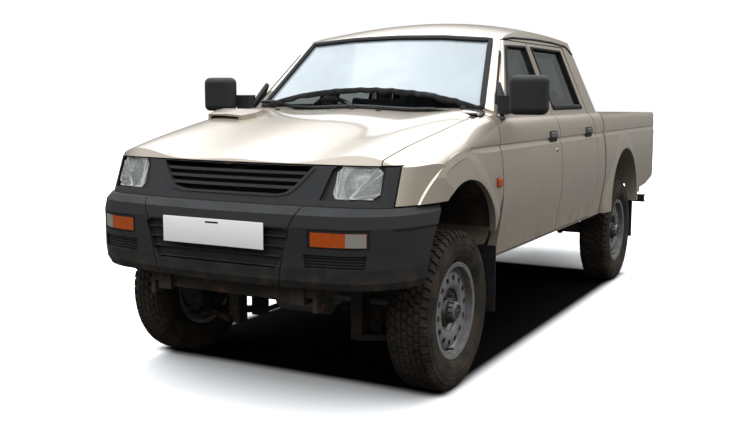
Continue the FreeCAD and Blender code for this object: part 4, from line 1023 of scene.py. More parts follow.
@dataclass
class Hub:
    """Wheel nuts, studs, the locking hub and the valve of one wheel."""

    body: str
    node: str
    side: int
    nuts: int = 6
    nut_circle: float = 0.06985
    nut_seat: float = 0.025
    nut_profile: Profile = (
        (0.0, 0.015625), (0.004, 0.013125), (0.004, 0.0125), (0.018, 0.0125), (0.020, 0.010))
    stud_profile: Profile = ((0.016, 0.006), (0.027, 0.006), (0.029, 0.004))
    flange_profile: Profile = ((0.050, 0.050), (0.052, 0.0535), (0.058, 0.0535), (0.060, 0.049))
    dial_profile: Profile = ((0.084, 0.030), (0.092, 0.029), (0.092, 0.022), (0.089, 0.021))
    teeth: int = 12
    tooth_place: tuple[float, float] = (0.067, 0.0465)
    tooth_size: Point = (0.026, 0.006, 0.006)
    tooth_round: float = 0.0015
    grip_out: float = 0.090
    grip_size: Point = (0.006, 0.036, 0.009)
    grip_round: float = 0.002
    valve_place: tuple[float, float] = (0.030, -0.188)
    valve_lean: float = 0.25
    valve_profile: Profile = ((0.0, 0.0055), (0.028, 0.0045), (0.030, 0.005), (0.040, 0.005), (0.041, 0.003))
    face: Profile = (
        (0.100, 0.047), (0.112, 0.056), (0.136, 0.058), (0.160, 0.055), (0.174, 0.048), (0.1805, 0.036))
    face_thick: float = 0.003
    slots: int = 14
    slot_cells: int = 5
    open_cells: int = 2
    slot_row: int = 2
    # How far behind the ring the painted shade sheet lies.
    painted_shade_drop: float = 0.0045

    def build(self, truck: Truck) -> None:
        """Make the nuts, the hub's dial and the valve.

        Args:
            truck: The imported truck.
        """
        centre = truck.centre(self.node)
        out = Vector((self.side, 0, 0))
        nuts = Shape()
        for step in range(self.nuts):
            seat = centre + out * self.nut_seat + self.spoke(step / self.nuts) * self.nut_circle
            nuts.drum(seat, out, self.nut_profile, 6)
            nuts.drum(seat, out, self.stud_profile, 12)
        nuts.make(self.node + "_nuts", Look.HUB, self.body)
        dial = Shape()
        dial.drum(centre, out, self.flange_profile, 48)
        dial.drum(centre, out, self.dial_profile, 40)
        tooth_out, tooth_circle = self.tooth_place
        for step in range(self.teeth):
            at = centre + out * tooth_out + self.spoke(step / self.teeth) * tooth_circle
            dial.block(Matrix.Translation(at), self.tooth_size, self.tooth_round)
        dial.block(Matrix.Translation(centre + out * self.grip_out), self.grip_size, self.grip_round)
        dial.make(self.node + "_hub_dial", Look.HUB, self.body)
        self.add_face(centre, out)
        valve = Shape()
        valve_out, valve_low = self.valve_place
        stem = centre + out * valve_out + Vector((0.0, 0.0, valve_low))
        valve.drum(stem, Vector((self.side, 0, self.valve_lean)), self.valve_profile, 12)
        valve.make(self.node + "_valve", Look.SEAL, self.body)

    def add_face(self, centre: Vector, out: Vector) -> None:
        """The pressed ring with its slots in front of the wheel's disc, and a dark sheet behind the slots as
        painted shade.

        Args:
            centre: The wheel's centre.
            out: The direction away from the truck.
        """
        cells = self.slots * self.slot_cells
        ring, shade = Shape(), Shape()
        faces = [(row * cells + step, row * cells + (step + 1) % cells,
                  (row + 1) * cells + (step + 1) % cells, (row + 1) * cells + step)
                 for row in range(len(self.face) - 1) for step in range(cells)
                 if row != self.slot_row or step % self.slot_cells >= self.open_cells]
        for lift in (0.0, -self.face_thick):
            ring.add([centre + out * (depth + lift) + self.spoke(step / cells) * radius
                      for radius, depth in self.face for step in range(cells)], faces)
        ring.make(self.node + "_slotted_ring", Look.WHEEL, self.body)
        # A dark rubber sheet just behind the slots: painted shade, so the holes look dark instead of showing
        # the silver disc.
        rows = [[centre + out * (depth - self.painted_shade_drop) + self.spoke(step / cells) * radius
                 for step in range(cells)]
                for radius, depth in self.face[self.slot_row:self.slot_row + 2]]
        shade.grid(rows, ring=True)
        shade.make(self.node + "_slot_painted_shade", Look.SEAL, self.body)

    def spoke(self, turn: float) -> Vector:
        """The direction across the wheel at a share of a turn."""
        return Vector((0.0, math.cos(math.tau * turn), math.sin(math.tau * turn)))


@dataclass
class SideTrim:
    """Seals, mouldings, handles, locks and repeaters of both sides."""

    front_handle: Pixel = (553.5, 136.2)
    rear_handle: Pixel = (588.8, 131.6)
    lock: Pixel = (557.5, 150.0)
    repeater: Pixel = (499.3, 182.3)
    handle_size: Point = (0.125, 0.062, 0.016)
    repeater_size: Point = (0.056, 0.044, 0.018)
    seal_width: float = 0.014
    seal_height: float = 0.004
    belt_section: tuple[float, float] = (0.030, 0.010)
    drip_section: tuple[float, float] = (0.013, 0.006)
    lock_profile: Profile = ((0.0, 0.0115), (0.004, 0.0115), (0.0055, 0.010), (0.0045, 0.0075))
    repeater_lift: float = 0.002
    repeater_round: float = 0.006
    repeater_margin: float = 0.004
    gasket_depth: float = 0.006
    gasket_round: float = 0.0025
    bezel_round: float = 0.0035
    grip_share: Point = (0.9, 0.52, 0.7)
    grip_lift_share: tuple[float, float] = (0.12, 0.42)
    grip_round: float = 0.005
    drip: Profile = (
        (-1.075, 1.292), (-0.89, 1.466), (-0.745, 1.604), (-0.69, 1.638), (-0.55, 1.652), (-0.2, 1.660),
        (0.12, 1.658), (0.36, 1.645), (0.455, 1.600))

    def build(self, truck: Truck) -> None:
        """Dress both sides.

        Args:
            truck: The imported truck.
        """
        for side, name in PAIRS:
            for end in DOORS:
                self.seal_window(truck, side, f"{end}_{name}")
            spots = truck.side_path(run_through(self.drip), side, ("cab_shell",))
            strip_on(spots, half_round(*self.drip_section)).make(f"{name}_drip_moulding", Look.SEAL, "body")
        left = {"front": self.front_handle, "rear": self.rear_handle}
        for end, pixel in left.items():
            spot = truck.seen(pixel, (f"{end}_left_door",))
            for (_, name), where in zip(PAIRS, (spot, spot.mirrored())):
                self.add_handle(where, f"{end}_{name}")
        spot = truck.seen(self.lock, ("front_left_door",))
        for (_, name), where in zip(PAIRS, (spot, spot.mirrored())):
            key = Shape()
            key.drum(where.point - where.out * OVERLAP, where.out, self.lock_profile, 24)
            key.make(f"{name}_door_lock", Look.CHROME, f"front_{name}_door")
        spot = truck.seen(self.repeater, ("front_wings",))
        for (_, name), where in zip(PAIRS, (spot, spot.mirrored())):
            lamp = Shape()
            lamp.block(where.matrix() @ Matrix.Translation((0, 0, self.repeater_lift)), self.repeater_size,
                       self.repeater_round)
            lamp.make(f"{name}_repeater", Look.AMBER, "body")
            gasket = Shape()
            wide, tall, _ = self.repeater_size
            size = (wide + self.repeater_margin, tall + self.repeater_margin, self.gasket_depth)
            gasket.block(where.matrix(), size, self.gasket_round)
            gasket.make(f"{name}_repeater_gasket", Look.SEAL, "body")

    def seal_window(self, truck: Truck, side: int, name: str) -> None:
        """Lay the black seal round one side window.

        Args:
            truck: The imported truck.
            side: 1 for the left, -1 for the right.
            name: The door's and the window's name without its last word.
        """
        glass = truck.nodes[name + "_window"].data
        skin = (name + "_window",)
        ring = outline(((vertex.co.y, vertex.co.z) for vertex in glass.vertices), -EDGE_INSET)
        section = half_round(self.seal_width, self.seal_height, SIDE_GLASS_DEPTH)
        seal = strip_on(truck.side_path(ring, side, skin), section, closed=True, lift=SIDE_GLASS_DEPTH)
        seal.make(name + "_window_seal", Look.SEAL, name + "_door")
        low = min(z for _, z in ring) + EDGE_INSET
        reach = [y for y, z in ring if z < low + EDGE_INSET]
        belt = run_through(((min(reach), low), (max(reach), low)))
        section = half_round(*self.belt_section, SIDE_GLASS_DEPTH)
        strip = strip_on(truck.side_path(belt, side, skin), section, lift=SIDE_GLASS_DEPTH)
        strip.make(name + "_belt_moulding", Look.SEAL, name + "_door")

    def add_handle(self, spot: Spot, name: str) -> None:
        """A square pull handle in its recessed bezel.

        Args:
            spot: Where it sits.
            name: The door's name without its last word.
        """
        wide, tall, deep = self.handle_size
        place = spot.matrix()
        bezel = Shape()
        bezel.block(place, (wide, tall, deep * 0.5), self.bezel_round)
        bezel.make(name + "_handle_bezel", Look.BLACK_PLASTIC, name + "_door")
        grip = Shape()
        lift_tall, lift_deep = self.grip_lift_share
        size = tuple(length * share for length, share in zip(self.handle_size, self.grip_share))
        grip.block(place @ Matrix.Translation((0, tall * lift_tall, deep * lift_deep)), size, self.grip_round)
        grip.make(name + "_handle_grip", Look.GREY_PLASTIC, name + "_door")


@dataclass
class ScreenTrim:
    """Windscreen and back window seals, wipers and washer jets."""

    wipers: tuple[tuple[Pixel, Pixel, Pixel], ...] = (
        ((362.0, 101.5), (474.0, 106.5), (425.0, 99.0)), ((262.0, 103.0), (348.0, 100.5), (330.0, 97.0)))
    pivots: tuple[Pixel, ...] = ((463.0, 109.5), (352.0, 109.0))
    washers: tuple[Pixel, ...] = ((277.8, 110.0), (378.3, 111.0))
    seal_width: float = 0.030
    seal_height: float = 0.006
    jet_size: Point = (0.018, 0.026, 0.014)
    jet_round: float = 0.004
    blade_steps: int = 12
    probe: float = 0.2
    blade_lift: float = 0.004
    blade_section: Profile = ((-0.004, -0.004), (-0.003, 0.008), (0.003, 0.008), (0.004, -0.004))
    bridge_lift: float = 0.013
    bridge_rise: float = 0.008
    bridge_section: Profile = ((-0.006, 0.0), (-0.005, 0.005), (0.005, 0.005), (0.006, 0.0))
    knuckle_lift: float = 0.024
    foot_lift: float = 0.016
    bend_share: float = 0.3
    bend_lift: float = 0.012
    arm_section: Profile = ((-0.008, 0.0), (-0.006, 0.007), (0.006, 0.007), (0.008, 0.0))
    spindle_profile: Profile = ((-0.004, 0.014), (0.014, 0.013), (0.022, 0.009))

    def build(self, truck: Truck) -> None:
        """Dress the screens.

        Args:
            truck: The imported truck.
        """
        glass = truck.nodes["fixed_glass"].data
        middle = truck.centre("fixed_glass").y
        front = [(v.co.x, v.co.z) for v in glass.vertices if v.co.y < middle]
        section = half_round(self.seal_width, self.seal_height, SCREEN_DEPTH)
        spots = truck.front_path(outline(front, -EDGE_INSET), ("fixed_glass",))
        seal = strip_on(spots, section, closed=True, lift=SCREEN_DEPTH)
        seal.make("windscreen_seal", Look.SEAL, "body")
        back = [(v.co.x, v.co.z) for v in glass.vertices if v.co.y > middle]
        spots = [truck.land(Vector((x, -FRONT_START, z)), Vector((0, -1, 0)), ("fixed_glass",))
                 for x, z in outline(back, -EDGE_INSET)]
        seal = strip_on(spots, section, closed=True, lift=SCREEN_DEPTH)
        seal.make("back_window_seal", Look.SEAL, "body")
        for index, (ends, pivot) in enumerate(zip(self.wipers, self.pivots)):
            self.add_wiper(truck, ends, pivot, f"wiper_{index}")
        jets = Shape()
        for pixel in self.washers:
            spot = truck.seen(pixel, ("cab_shell", "bonnet"))
            jets.block(spot.matrix(), self.jet_size, self.jet_round)
        jets.make("washer_jets", Look.BLACK_PLASTIC, "bonnet")

    def add_wiper(self, truck: Truck, ends: tuple[Pixel, Pixel, Pixel], pivot: Pixel,
                  name: str) -> None:
        """One wiper: blade, its bridge and the arm from its spindle.

        Args:
            truck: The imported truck.
            ends: The blade's two ends and the arm's joint, as pixels of the photograph.
            pivot: The spindle's pixel.
            name: The wiper's name.
        """
        skin = ("cab_shell", "fixed_glass")
        start, end, joint = (truck.seen(pixel, skin) for pixel in ends)
        foot = truck.seen(pivot, ("cab_shell", "bonnet"))
        out = start.out
        shares = [step / self.blade_steps for step in range(self.blade_steps + 1)]
        spots = [truck.land(start.point.lerp(end.point, share) + out * self.probe, -out, skin)
                 for share in shares]
        shape = Shape()
        ups = [out] * len(shares)
        shape.bar([spot.point + out * self.blade_lift for spot in spots], ups, self.blade_section)
        bridge = [spot.point + out * (self.bridge_lift + self.bridge_rise * math.sin(math.pi * share))
                  for share, spot in zip(shares, spots)]
        shape.bar(bridge, ups, self.bridge_section)
        knuckle = joint.point + out * self.knuckle_lift
        base = foot.point + foot.out * self.foot_lift
        bend = base.lerp(knuckle, self.bend_share) + out * self.bend_lift
        shape.bar([base, bend, knuckle], [out] * 3, self.arm_section)
        shape.drum(foot.point, foot.out, self.spindle_profile, 20)
        shape.make(name, Look.BLACK_PLASTIC, "body")


@dataclass
class FrontTrim:
    """Headlamps, position lamps, number plate and the intake screen."""

    grid_steps: tuple[int, int] = (24, 16)
    lamp_corner_share: float = 0.16
    tuck_share: float = 0.24
    screen_half: float = 0.375
    screen_span: tuple[float, float] = (0.600, 0.806)
    screen_behind: float = 0.7035
    screen_slats: int = 4
    screen_thick: float = 0.006
    screen_slat_deep: float = 0.014
    slat_share: float = 0.95
    lamp_aspect: float = 1.50
    tuck: float = 0.94
    grid_inset: float = 0.02
    cover_depth: float = 0.003
    bowl_depth: float = 0.028
    bowl_gap: float = 0.006
    bowl_reach_share: float = 0.62
    bowl_centre_share: tuple[float, float] = (0.60, 0.48)
    bulb_profile: Profile = ((0.0, 0.012), (0.010, 0.019), (0.018, 0.019), (0.023, 0.0114))
    gasket_sink: float = 0.002
    indicator_aspect: float = 3.86
    lens_inset: float = 0.001
    lens_lift: float = 0.0015
    lens_depth: float = 0.004
    frame_gap: float = 0.003
    frame_section: tuple[float, float] = (0.007, 0.003)
    gasket: tuple[float, float] = (0.010, 0.005)
    clear_share: float = 0.34
    plate_size: Point = (0.520, 0.003, 0.111)
    plate_top: float = 0.819
    plate_front: float = 0.7448
    holder_share: tuple[float, float] = (0.94, 0.80)
    holder_depth: float = 0.026
    holder_drop: float = 0.004
    rounding_share: float = 0.3

    def build(self, truck: Truck) -> None:
        """Dress the front.

        Args:
            truck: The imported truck.
        """
        for side, name in PAIRS:
            self.add_headlamp(truck, side, name)
            self.add_position_lamp(truck, side, name)
        self.add_plate(truck)
        self.add_intake_screen(truck)

    def tucked(self, x: float, z: float, low: Vector, high: Vector) -> tuple[float, float]:
        """Keep a point of the lamp's grid inside its rounded corners.

        Args:
            x: The point's distance from the middle of the truck.
            z: Its height.
            low: The lamp's lowest corner.
            high: Its highest corner.

        Returns:
            The point, drawn in where it lay outside a corner's arc.
        """
        radius = (high.z - low.z) * self.tuck_share
        middle_x = min(max(x, low.x + radius), high.x - radius)
        middle_z = min(max(z, low.z + radius), high.z - radius)
        away = math.hypot(x - middle_x, z - middle_z)
        share = min(1.0, radius * self.tuck / away) if away else 1.0
        return middle_x + (x - middle_x) * share, middle_z + (z - middle_z) * share

    def lamp_ring(self, low: Vector, high: Vector, side: int) -> list[tuple[float, float]]:
        """A lamp's rounded outline.

        Args:
            low: The lamp's lowest corner.
            high: Its highest corner.
            side: 1 for the left, -1 for the right.

        Returns:
            The outline as (x, z) points.
        """
        radius = (high.z - low.z) * self.lamp_corner_share
        points = []
        middles = ((high.x - radius, high.z - radius), (low.x + radius, high.z - radius),
                   (low.x + radius, low.z + radius), (high.x - radius, low.z + radius))
        for index, (x, z) in enumerate(middles):
            for step in range(5):
                angle = math.pi / 2 * (index + step / 4)
                points.append((x + radius * math.cos(angle), z + radius * math.sin(angle)))
        return [(side * x, z) for x, z in points]

    def add_headlamp(self, truck: Truck, side: int, name: str) -> None:
        """One headlamp: fluted cover, facetted bowl with its bulb, and the pale gasket.

        Args:
            truck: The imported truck.
            side: 1 for the left, -1 for the right.
            name: The side's name.
        """
        skin = ("headlamps",)
        low, high = truck.corners("headlamps")
        tall = high.z - low.z
        low = Vector((high.x - tall * self.lamp_aspect, low.y, low.z))
        wide = high.x - low.x
        columns, rows = self.grid_steps
        centre = (low.x + wide * self.bowl_centre_share[0], low.z + tall * self.bowl_centre_share[1])
        reach = tall * self.bowl_reach_share
        inset, span = self.grid_inset, 1 - 2 * self.grid_inset
        cover, back, bowl = [], [], []
        for row in range(rows + 1):
            z = low.z + tall * (inset + span * row / rows)
            line = [low.x + wide * (inset + span * column / columns) for column in range(columns + 1)]
            tucked = [self.tucked(x, z, low, high) for x in line]
            spots = truck.front_path([(side * x, height) for x, height in tucked], skin)
            cover.append([spot.point for spot in spots])
            back.append([spot.point + Vector((0, self.cover_depth, 0)) for spot in spots])
            dished = []
            for (x, height), spot in zip(tucked, spots):
                away = math.hypot(x - centre[0], height - centre[1]) / reach
                depth = self.bowl_depth * max(0.0, 1 - away * away) + self.bowl_gap
                dished.append(spot.point + Vector((0, depth, 0)))
            bowl.append(dished)
        glass = Shape()
        glass.grid(cover)
        glass.grid(back)
        for end in (0, -1):
            glass.grid([sheet[end] for sheet in (cover, back)])
        for end in (0, -1):
            glass.grid([[line[end] for line in sheet] for sheet in (cover, back)])
        lens = glass.make(f"{name}_headlamp_cover", Look.LAMP_GLASS, "body")
        reflector = Shape()
        reflector.grid(bowl)
        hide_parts("headlamps")
        dish = reflector.make(f"{name}_headlamp_bowl", Look.REFLECTOR, "body")
        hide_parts("headlamps")
        spot = truck.front_path([(side * centre[0], centre[1])], skin)[0]
        bulb = Shape()
        foot = spot.point + Vector((0, self.bowl_depth + self.bowl_gap, 0))
        bulb.drum(foot, Vector((0, -1, 0)), self.bulb_profile, 28)
        bulb.make(f"{name}_headlamp_bulb", Look.CHROME, "body")
        ring = self.lamp_ring(low, high, side)
        spots = truck.front_path(ring, skin)
        trim = Shape()
        sink = Vector((0, self.gasket_sink, 0))
        trim.bar([spot.point + sink for spot in spots], [Vector((0, -1, 0))] * len(spots),
                 half_round(*self.gasket), closed=True)
        trim.make(f"{name}_headlamp_gasket", Look.GASKET, "body")

    def add_position_lamp(self, truck: Truck, side: int, name: str) -> None:
        """The clear outer third of the bumper lamp and the amber part's frame.

        Args:
            truck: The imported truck.
            side: 1 for the left, -1 for the right.
            name: The side's name.
        """
        low, high = truck.corners("indicators")
        wide = (high.z - low.z) * self.indicator_aspect
        inner = high.x - wide * self.clear_share
        lens, frame = Shape(), Shape()
        rows = []
        for z in (low.z + self.lens_inset, high.z - self.lens_inset):
            line = [(side * (inner + (high.x - self.lens_inset - inner) * step / 8), z) for step in range(9)]
            spots = truck.front_path(line, ("indicators",))
            rows.append([spot.point + spot.out * self.lens_lift for spot in spots])
        sunk = [[point + Vector((0, self.lens_depth, 0)) for point in row] for row in rows]
        lens.grid(rows)
        lens.grid([rows[0], sunk[0]])
        lens.grid([rows[1], sunk[1]])
        lens.grid([[rows[0][0], rows[1][0]], [sunk[0][0], sunk[1][0]]])
        lens.grid([[rows[0][-1], rows[1][-1]], [sunk[0][-1], sunk[1][-1]]])
        lens.make(f"{name}_position_lamp", Look.CLEAR_LENS, "body")
        start = high.x - wide
        corners = ((start, low.z), (high.x, low.z), (high.x, high.z), (start, high.z))
        ring = outline(((side * x, z) for x, z in corners), self.frame_gap)
        spots = truck.front_path(ring, ("front_bumper", "indicators"))
        frame.bar([spot.point for spot in spots], [spot.out for spot in spots],
                  half_round(*self.frame_section), closed=True)
        frame.make(f"{name}_indicator_frame", Look.SEAL, "body")

    def add_plate(self, truck: Truck) -> None:
        """The blank number plate and the moulding that holds it.

        Args:
            truck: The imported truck.
        """
        wide, thick, tall = self.plate_size
        middle = truck.front_axle - self.plate_front
        centre = Vector((0.0, middle + thick / 2, self.plate_top - tall / 2))
        plate = Shape()
        plate.block(Matrix.Translation(centre), self.plate_size, thick * 0.4)
        plate.make("number_plate", Look.PLATE, "body")
        holder = Shape()
        wide_share, tall_share = self.holder_share
        behind = Vector((0, (thick + self.holder_depth) / 2, -self.holder_drop))
        holder.block(Matrix.Translation(centre + behind),
                     (wide * wide_share, self.holder_depth, tall * tall_share), self.holder_drop)
        holder.make("plate_holder", Look.BLACK_PLASTIC, "body")

    def add_intake_screen(self, truck: Truck) -> None:
        """The black panel with its slats behind the bumper's opening.

        Args:
            truck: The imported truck.
        """
        bottom, top = self.screen_span
        y = truck.front_axle - self.screen_behind
        wide, rounding = self.screen_half * 2, self.screen_thick * self.rounding_share
        screen = Shape()
        screen.block(Matrix.Translation((0.0, y, (bottom + top) / 2)),
                     (wide, self.screen_thick, top - bottom), rounding)
        pitch = (top - bottom) / (self.screen_slats + 1)
        for step in range(self.screen_slats):
            centre = (0.0, y - (self.screen_thick + self.screen_slat_deep) / 2, bottom + pitch * (step + 1))
            screen.block(Matrix.Translation(centre),
                         (wide * self.slat_share, self.screen_slat_deep, self.screen_thick), rounding)
        screen.make("intake_screen", Look.BLACK_PLASTIC, "body")


@dataclass
class MirrorTrim:
    """Mirror glass and the mirrors' bases."""

    glass_share: float = 0.84
    glass_thick: float = 0.004
    glass_round: float = 0.0015
    head: float = 0.19
    rear: float = 0.0505
    base: Profile = ((-1.135, 1.236), (-1.01, 1.236), (-1.01, 1.385), (-1.02, 1.395))
    base_spot: tuple[float, float] = (-0.78, 1.36)
    base_lifts: tuple[float, float] = (0.004, 0.024)

    def build(self, truck: Truck) -> None:
        """Dress both mirrors.

        Args:
            truck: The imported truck.
        """
        for side, name in PAIRS:
            low, high = truck.corners(name + "_mirror")
            body = f"front_{name}_door"
            glass_spot = truck.side_path([self.base_spot], side, (f"front_{name}_window",))[0]
            sail = Shape()
            foot, top = ([glass_spot.level(y, z) + glass_spot.out * lift for y, z in outline(self.base)]
                         for lift in self.base_lifts)
            sail.grid([foot, top], ring=True, caps=True)
            sail.make(name + "_mirror_base", Look.BLACK_PLASTIC, body)
            if side > 0:
                centre = Vector((high.x - self.head / 2, high.y - self.rear, (low.z + high.z) / 2))
                size = (self.head * self.glass_share, self.glass_thick, (high.z - low.z) * self.glass_share)
                glass = Shape()
                glass.block(Matrix.Translation(centre), size, self.glass_round)
                glass.make(name + "_mirror_glass", Look.CHROME, body)


@dataclass
class BedTrim:
    """Floor ribs and the tailgate's handle."""

    rib_pitch: float = 0.105
    rib_size: tuple[float, float] = (0.052, 0.008)
    floor_half: float = 0.53
    rib_ends: tuple[float, float] = (0.09, 0.10)
    handle_size: Point = (0.19, 0.014, 0.062)
    handle_drop: float = 0.09
    handle_round: float = 0.004
    grip_share: Point = (0.72, 0.7, 0.5)
    grip_shift: Point = (0, 0.001, 0.008)

    def build(self, truck: Truck) -> None:
        """Dress the bed and the tailgate.

        Args:
            truck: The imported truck.
        """
        low, high = truck.corners("cargo_bed")
        gate_high = truck.corners("tailgate")[1]
        self.add_floor_ribs(truck, low, high)
        deep = self.handle_size[1]
        centre = Vector((0.0, gate_high.y - deep * 0.1, gate_high.z - self.handle_drop))
        bezel = Shape()
        bezel.block(Matrix.Translation(centre - Vector((0, deep * 0.35, 0))), self.handle_size,
                    self.handle_round)
        bezel.make("tailgate_handle_bezel", Look.BLACK_PLASTIC, "tailgate")
        grip = Shape()
        size = tuple(length * share for length, share in zip(self.handle_size, self.grip_share))
        grip.block(Matrix.Translation(centre + Vector(self.grip_shift)), size, self.handle_round)
        grip.make("tailgate_handle_grip", Look.GREY_PLASTIC, "tailgate")

    def add_floor_ribs(self, truck: Truck, low: Vector, high: Vector) -> None:
        """Pressed ribs along the bed's floor, clear of the wheel boxes.

        Args:
            truck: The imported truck.
            low: The bed's lowest corner.
            high: Its highest corner.
        """
        ribs = Shape()
        across = int(self.floor_half / self.rib_pitch)
        front, rear = self.rib_ends
        for step in range(-across, across + 1):
            x = step * self.rib_pitch
            above = Vector((x, (low.y + high.y) / 2, high.z + 0.5))
            spot = truck.land(above, Vector((0, 0, -1)), ("cargo_bed",))
            path = [Vector((x, y, spot.point.z)) for y in (low.y + front, high.y - rear)]
            ribs.bar(path, [Vector((0, 0, 1))] * 2, half_round(*self.rib_size))
        ribs.make("bed_floor_ribs", Look.PAINT, "body")


@dataclass
class Pad:
    """A stuffed seat pad swollen by a cloth simulation from its plain block."""

    name: str
    ring: tuple[tuple[float, float], ...]
    span: tuple[float, float]
    voxel: float = 0.010
    shrink: float = 0.008
    pressure: float = 4.0
    frames: int = 20
    cap: float = 0.022
    fill: float = 0.8
    softening: int = 30

    def build(self, body: str, node: str) -> bpy.types.Object:
        """Make the pad in place of a node.

        Args:
            body: The body that it rides on.
            node: The node that it stands for.

        Returns:
            The pad.
        """
        shape = Shape()
        low, high = self.span
        inner = outline(self.ring, -self.shrink)
        rows = [[Vector((x, y, z)) for y, z in inner] for x in (low + self.shrink, high - self.shrink)]
        shape.grid(rows, ring=True, caps=True)
        pad = shape.make(self.name, Look.SEAT, body)
        self.refine(pad)
        self.inflate(pad)
        for face in pad.data.polygons:
            face.use_smooth = True
        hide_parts(node)
        return pad

    def twin(self, pad: bpy.types.Object, body: str, node: str) -> bpy.types.Object:
        """Make a finished pad again on the truck's other side.

        Args:
            pad: The pad to copy.
            body: The body that the copy rides on.
            node: The node that it stands for.

        Returns:
            The copy.
        """
        mesh = pad.data.copy()
        mesh.transform(Matrix.Diagonal((-1, 1, 1, 1)))
        mesh.flip_normals()
        copy = bpy.data.objects.new(self.name, mesh)
        bpy.context.collection.objects.link(copy)
        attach(copy, body)
        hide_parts(node)
        return copy

    def refine(self, pad: bpy.types.Object) -> None:
        """Turn the block into an even fine mesh with softened edges.

        Args:
            pad: The pad.
        """
        remesh = pad.modifiers.new("even", "REMESH")
        remesh.mode = "VOXEL"
        remesh.voxel_size = self.voxel
        soften = pad.modifiers.new("soft", "SMOOTH")
        soften.iterations = self.softening
        self.apply(pad)

    def inflate(self, pad: bpy.types.Object) -> None:
        """Swell the cover under pressure and cap how far any point moved.

        Args:
            pad: The pad.
        """
        before = [vertex.co.copy() for vertex in pad.data.vertices]
        cloth = pad.modifiers.new("stuffing", "CLOTH")
        cloth.settings.use_pressure = True
        cloth.settings.uniform_pressure_force = self.pressure
        cloth.settings.effector_weights.gravity = 0.0
        cloth.point_cache.frame_start = 1
        cloth.point_cache.frame_end = self.frames
        for number in range(1, self.frames + 1):
            bpy.context.scene.frame_set(number)
        self.apply(pad)
        bpy.context.scene.frame_set(1)
        for vertex, start in zip(pad.data.vertices, before):
            moved = vertex.co - start
            if moved.length > self.cap:
                vertex.co = start + moved.normalized() * self.cap

    def apply(self, pad: bpy.types.Object) -> None:
        """Bake the modifiers into the mesh.

        Args:
            pad: The pad.
        """
        graph = bpy.context.evaluated_depsgraph_get()
        baked = bpy.data.meshes.new_from_object(pad.evaluated_get(graph))
        pad.modifiers.clear()
        pad.data = baked


@dataclass
class Cabin:
    """Seats, their headrest posts and the inside mirror."""

    cushion: Profile = ((-0.73, 0.775), (-0.30, 0.760), (-0.30, 0.905), (-0.72, 0.925))
    back: Profile = ((-0.375, 0.905), (-0.265, 0.880), (-0.197, 1.330), (-0.275, 1.345))
    rest: Profile = ((-0.262, 1.365), (-0.178, 1.355), (-0.165, 1.485), (-0.245, 1.490))
    rear_cushion: Profile = ((0.045, 0.775), (0.37, 0.76), (0.37, 0.90), (0.055, 0.925))
    rear_back: Profile = ((0.29, 0.90), (0.40, 0.88), (0.485, 1.375), (0.405, 1.395))
    front_span: tuple[float, float] = (0.115, 0.605)
    rest_span: tuple[float, float] = (0.235, 0.485)
    rear_span: tuple[float, float] = (-0.595, 0.595)
    post_offsets: tuple[float, float] = (-0.06, 0.06)
    post_ends: Profile = ((-0.230, 1.31), (-0.215, 1.40))
    post_radius: float = 0.005
    mirror_drop: float = 0.055
    mirror_shift: Point = (0, 0.085, -0.035)
    mirror_size: Point = (0.24, 0.030, 0.062)
    mirror_round: float = 0.010
    stalk_inset: float = 0.008
    stalk_radius: float = 0.006

    def build(self, truck: Truck) -> None:
        """Make the seats and small fittings.

        Args:
            truck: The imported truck.
        """
        for part, ring, span in (("cushion", self.cushion, self.front_span),
                                 ("back", self.back, self.front_span),
                                 ("headrest", self.rest, self.rest_span)):
            pad = Pad(f"front_left_{part}", ring, span).build("body", "front_seats")
            Pad(f"front_right_{part}", ring, span).twin(pad, "body", "front_seats")
        for side, name in PAIRS:
            posts = Shape()
            for offset in self.post_offsets:
                x = side * (sum(self.rest_span) / 2) + offset
                posts.bar([Vector((x, y, z)) for y, z in self.post_ends], [Vector((1, 0, 0))] * 2,
                          ring_section(self.post_radius))
            posts.make(f"front_{name}_headrest_posts", Look.CHROME, "body")
        for part, ring in (("cushion", self.rear_cushion), ("back", self.rear_back)):
            Pad(f"rear_{part}", ring, self.rear_span).build("body", "rear_seat")
        self.add_inside_mirror(truck)

    def add_inside_mirror(self, truck: Truck) -> None:
        """The mirror behind the windscreen, on its stalk.

        Args:
            truck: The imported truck.
        """
        high = truck.corners("fixed_glass")[1].z
        spot = truck.front_path([(0.0, high - self.mirror_drop)], ("fixed_glass",))[0]
        shape = Shape()
        centre = spot.point + Vector(self.mirror_shift)
        shape.block(Matrix.Translation(centre), self.mirror_size, self.mirror_round)
        shape.bar([spot.point + Vector((0, self.stalk_inset, 0)), centre], [Vector((1, 0, 0))] * 2,
                  ring_section(self.stalk_radius))
        shape.make("inside_mirror", Look.BLACK_PLASTIC, "body")


@dataclass
class Bodywork:
    """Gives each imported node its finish."""

    looks: tuple[tuple[tuple[str, ...], Look], ...] = (
        (("tyre",), Look.TYRE),
        (("_wheel",), Look.WHEEL),
        (("bumper", "mirror", "front_panel"), Look.BLACK_PLASTIC),
        (("flaps",), Look.SEAL),
        (("dashboard",), Look.GREY_PLASTIC),
        (("steering_wheel",), Look.BLACK_PLASTIC),
        (("seat",), Look.SEAT),
        (("window",), Look.SIDE_GLASS),
        (("glass",), Look.SCREEN),
        (("headlamps",), Look.LAMP_GLASS),
        (("indicators",), Look.AMBER),
        (("tail_lamps",), Look.RED),
        (("exhaust",), Look.EXHAUST),
        (("engine", "axle", "differential", "shafts"), Look.CASTING),
        (("frame", "suspension", "knuckle", "link", "springs", "tank", "dampers", "beam", "structure"),
         Look.FRAME),
    )

    def dress(self, nodes: dict[str, bpy.types.Object]) -> None:
        """Assign the finishes.

        Args:
            nodes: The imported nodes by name.
        """
        for name, node in nodes.items():
            look = next((look for words, look in self.looks if is_any(name, words)), Look.PAINT)
            for slot in node.material_slots:
                slot.material = look.material()


WHITE: Colour = (1.0, 1.0, 1.0)
SKY_TINT: Colour = (0.95, 0.975, 1.0)
HORIZON_TINT: Colour = (1.0, 0.97, 0.92)


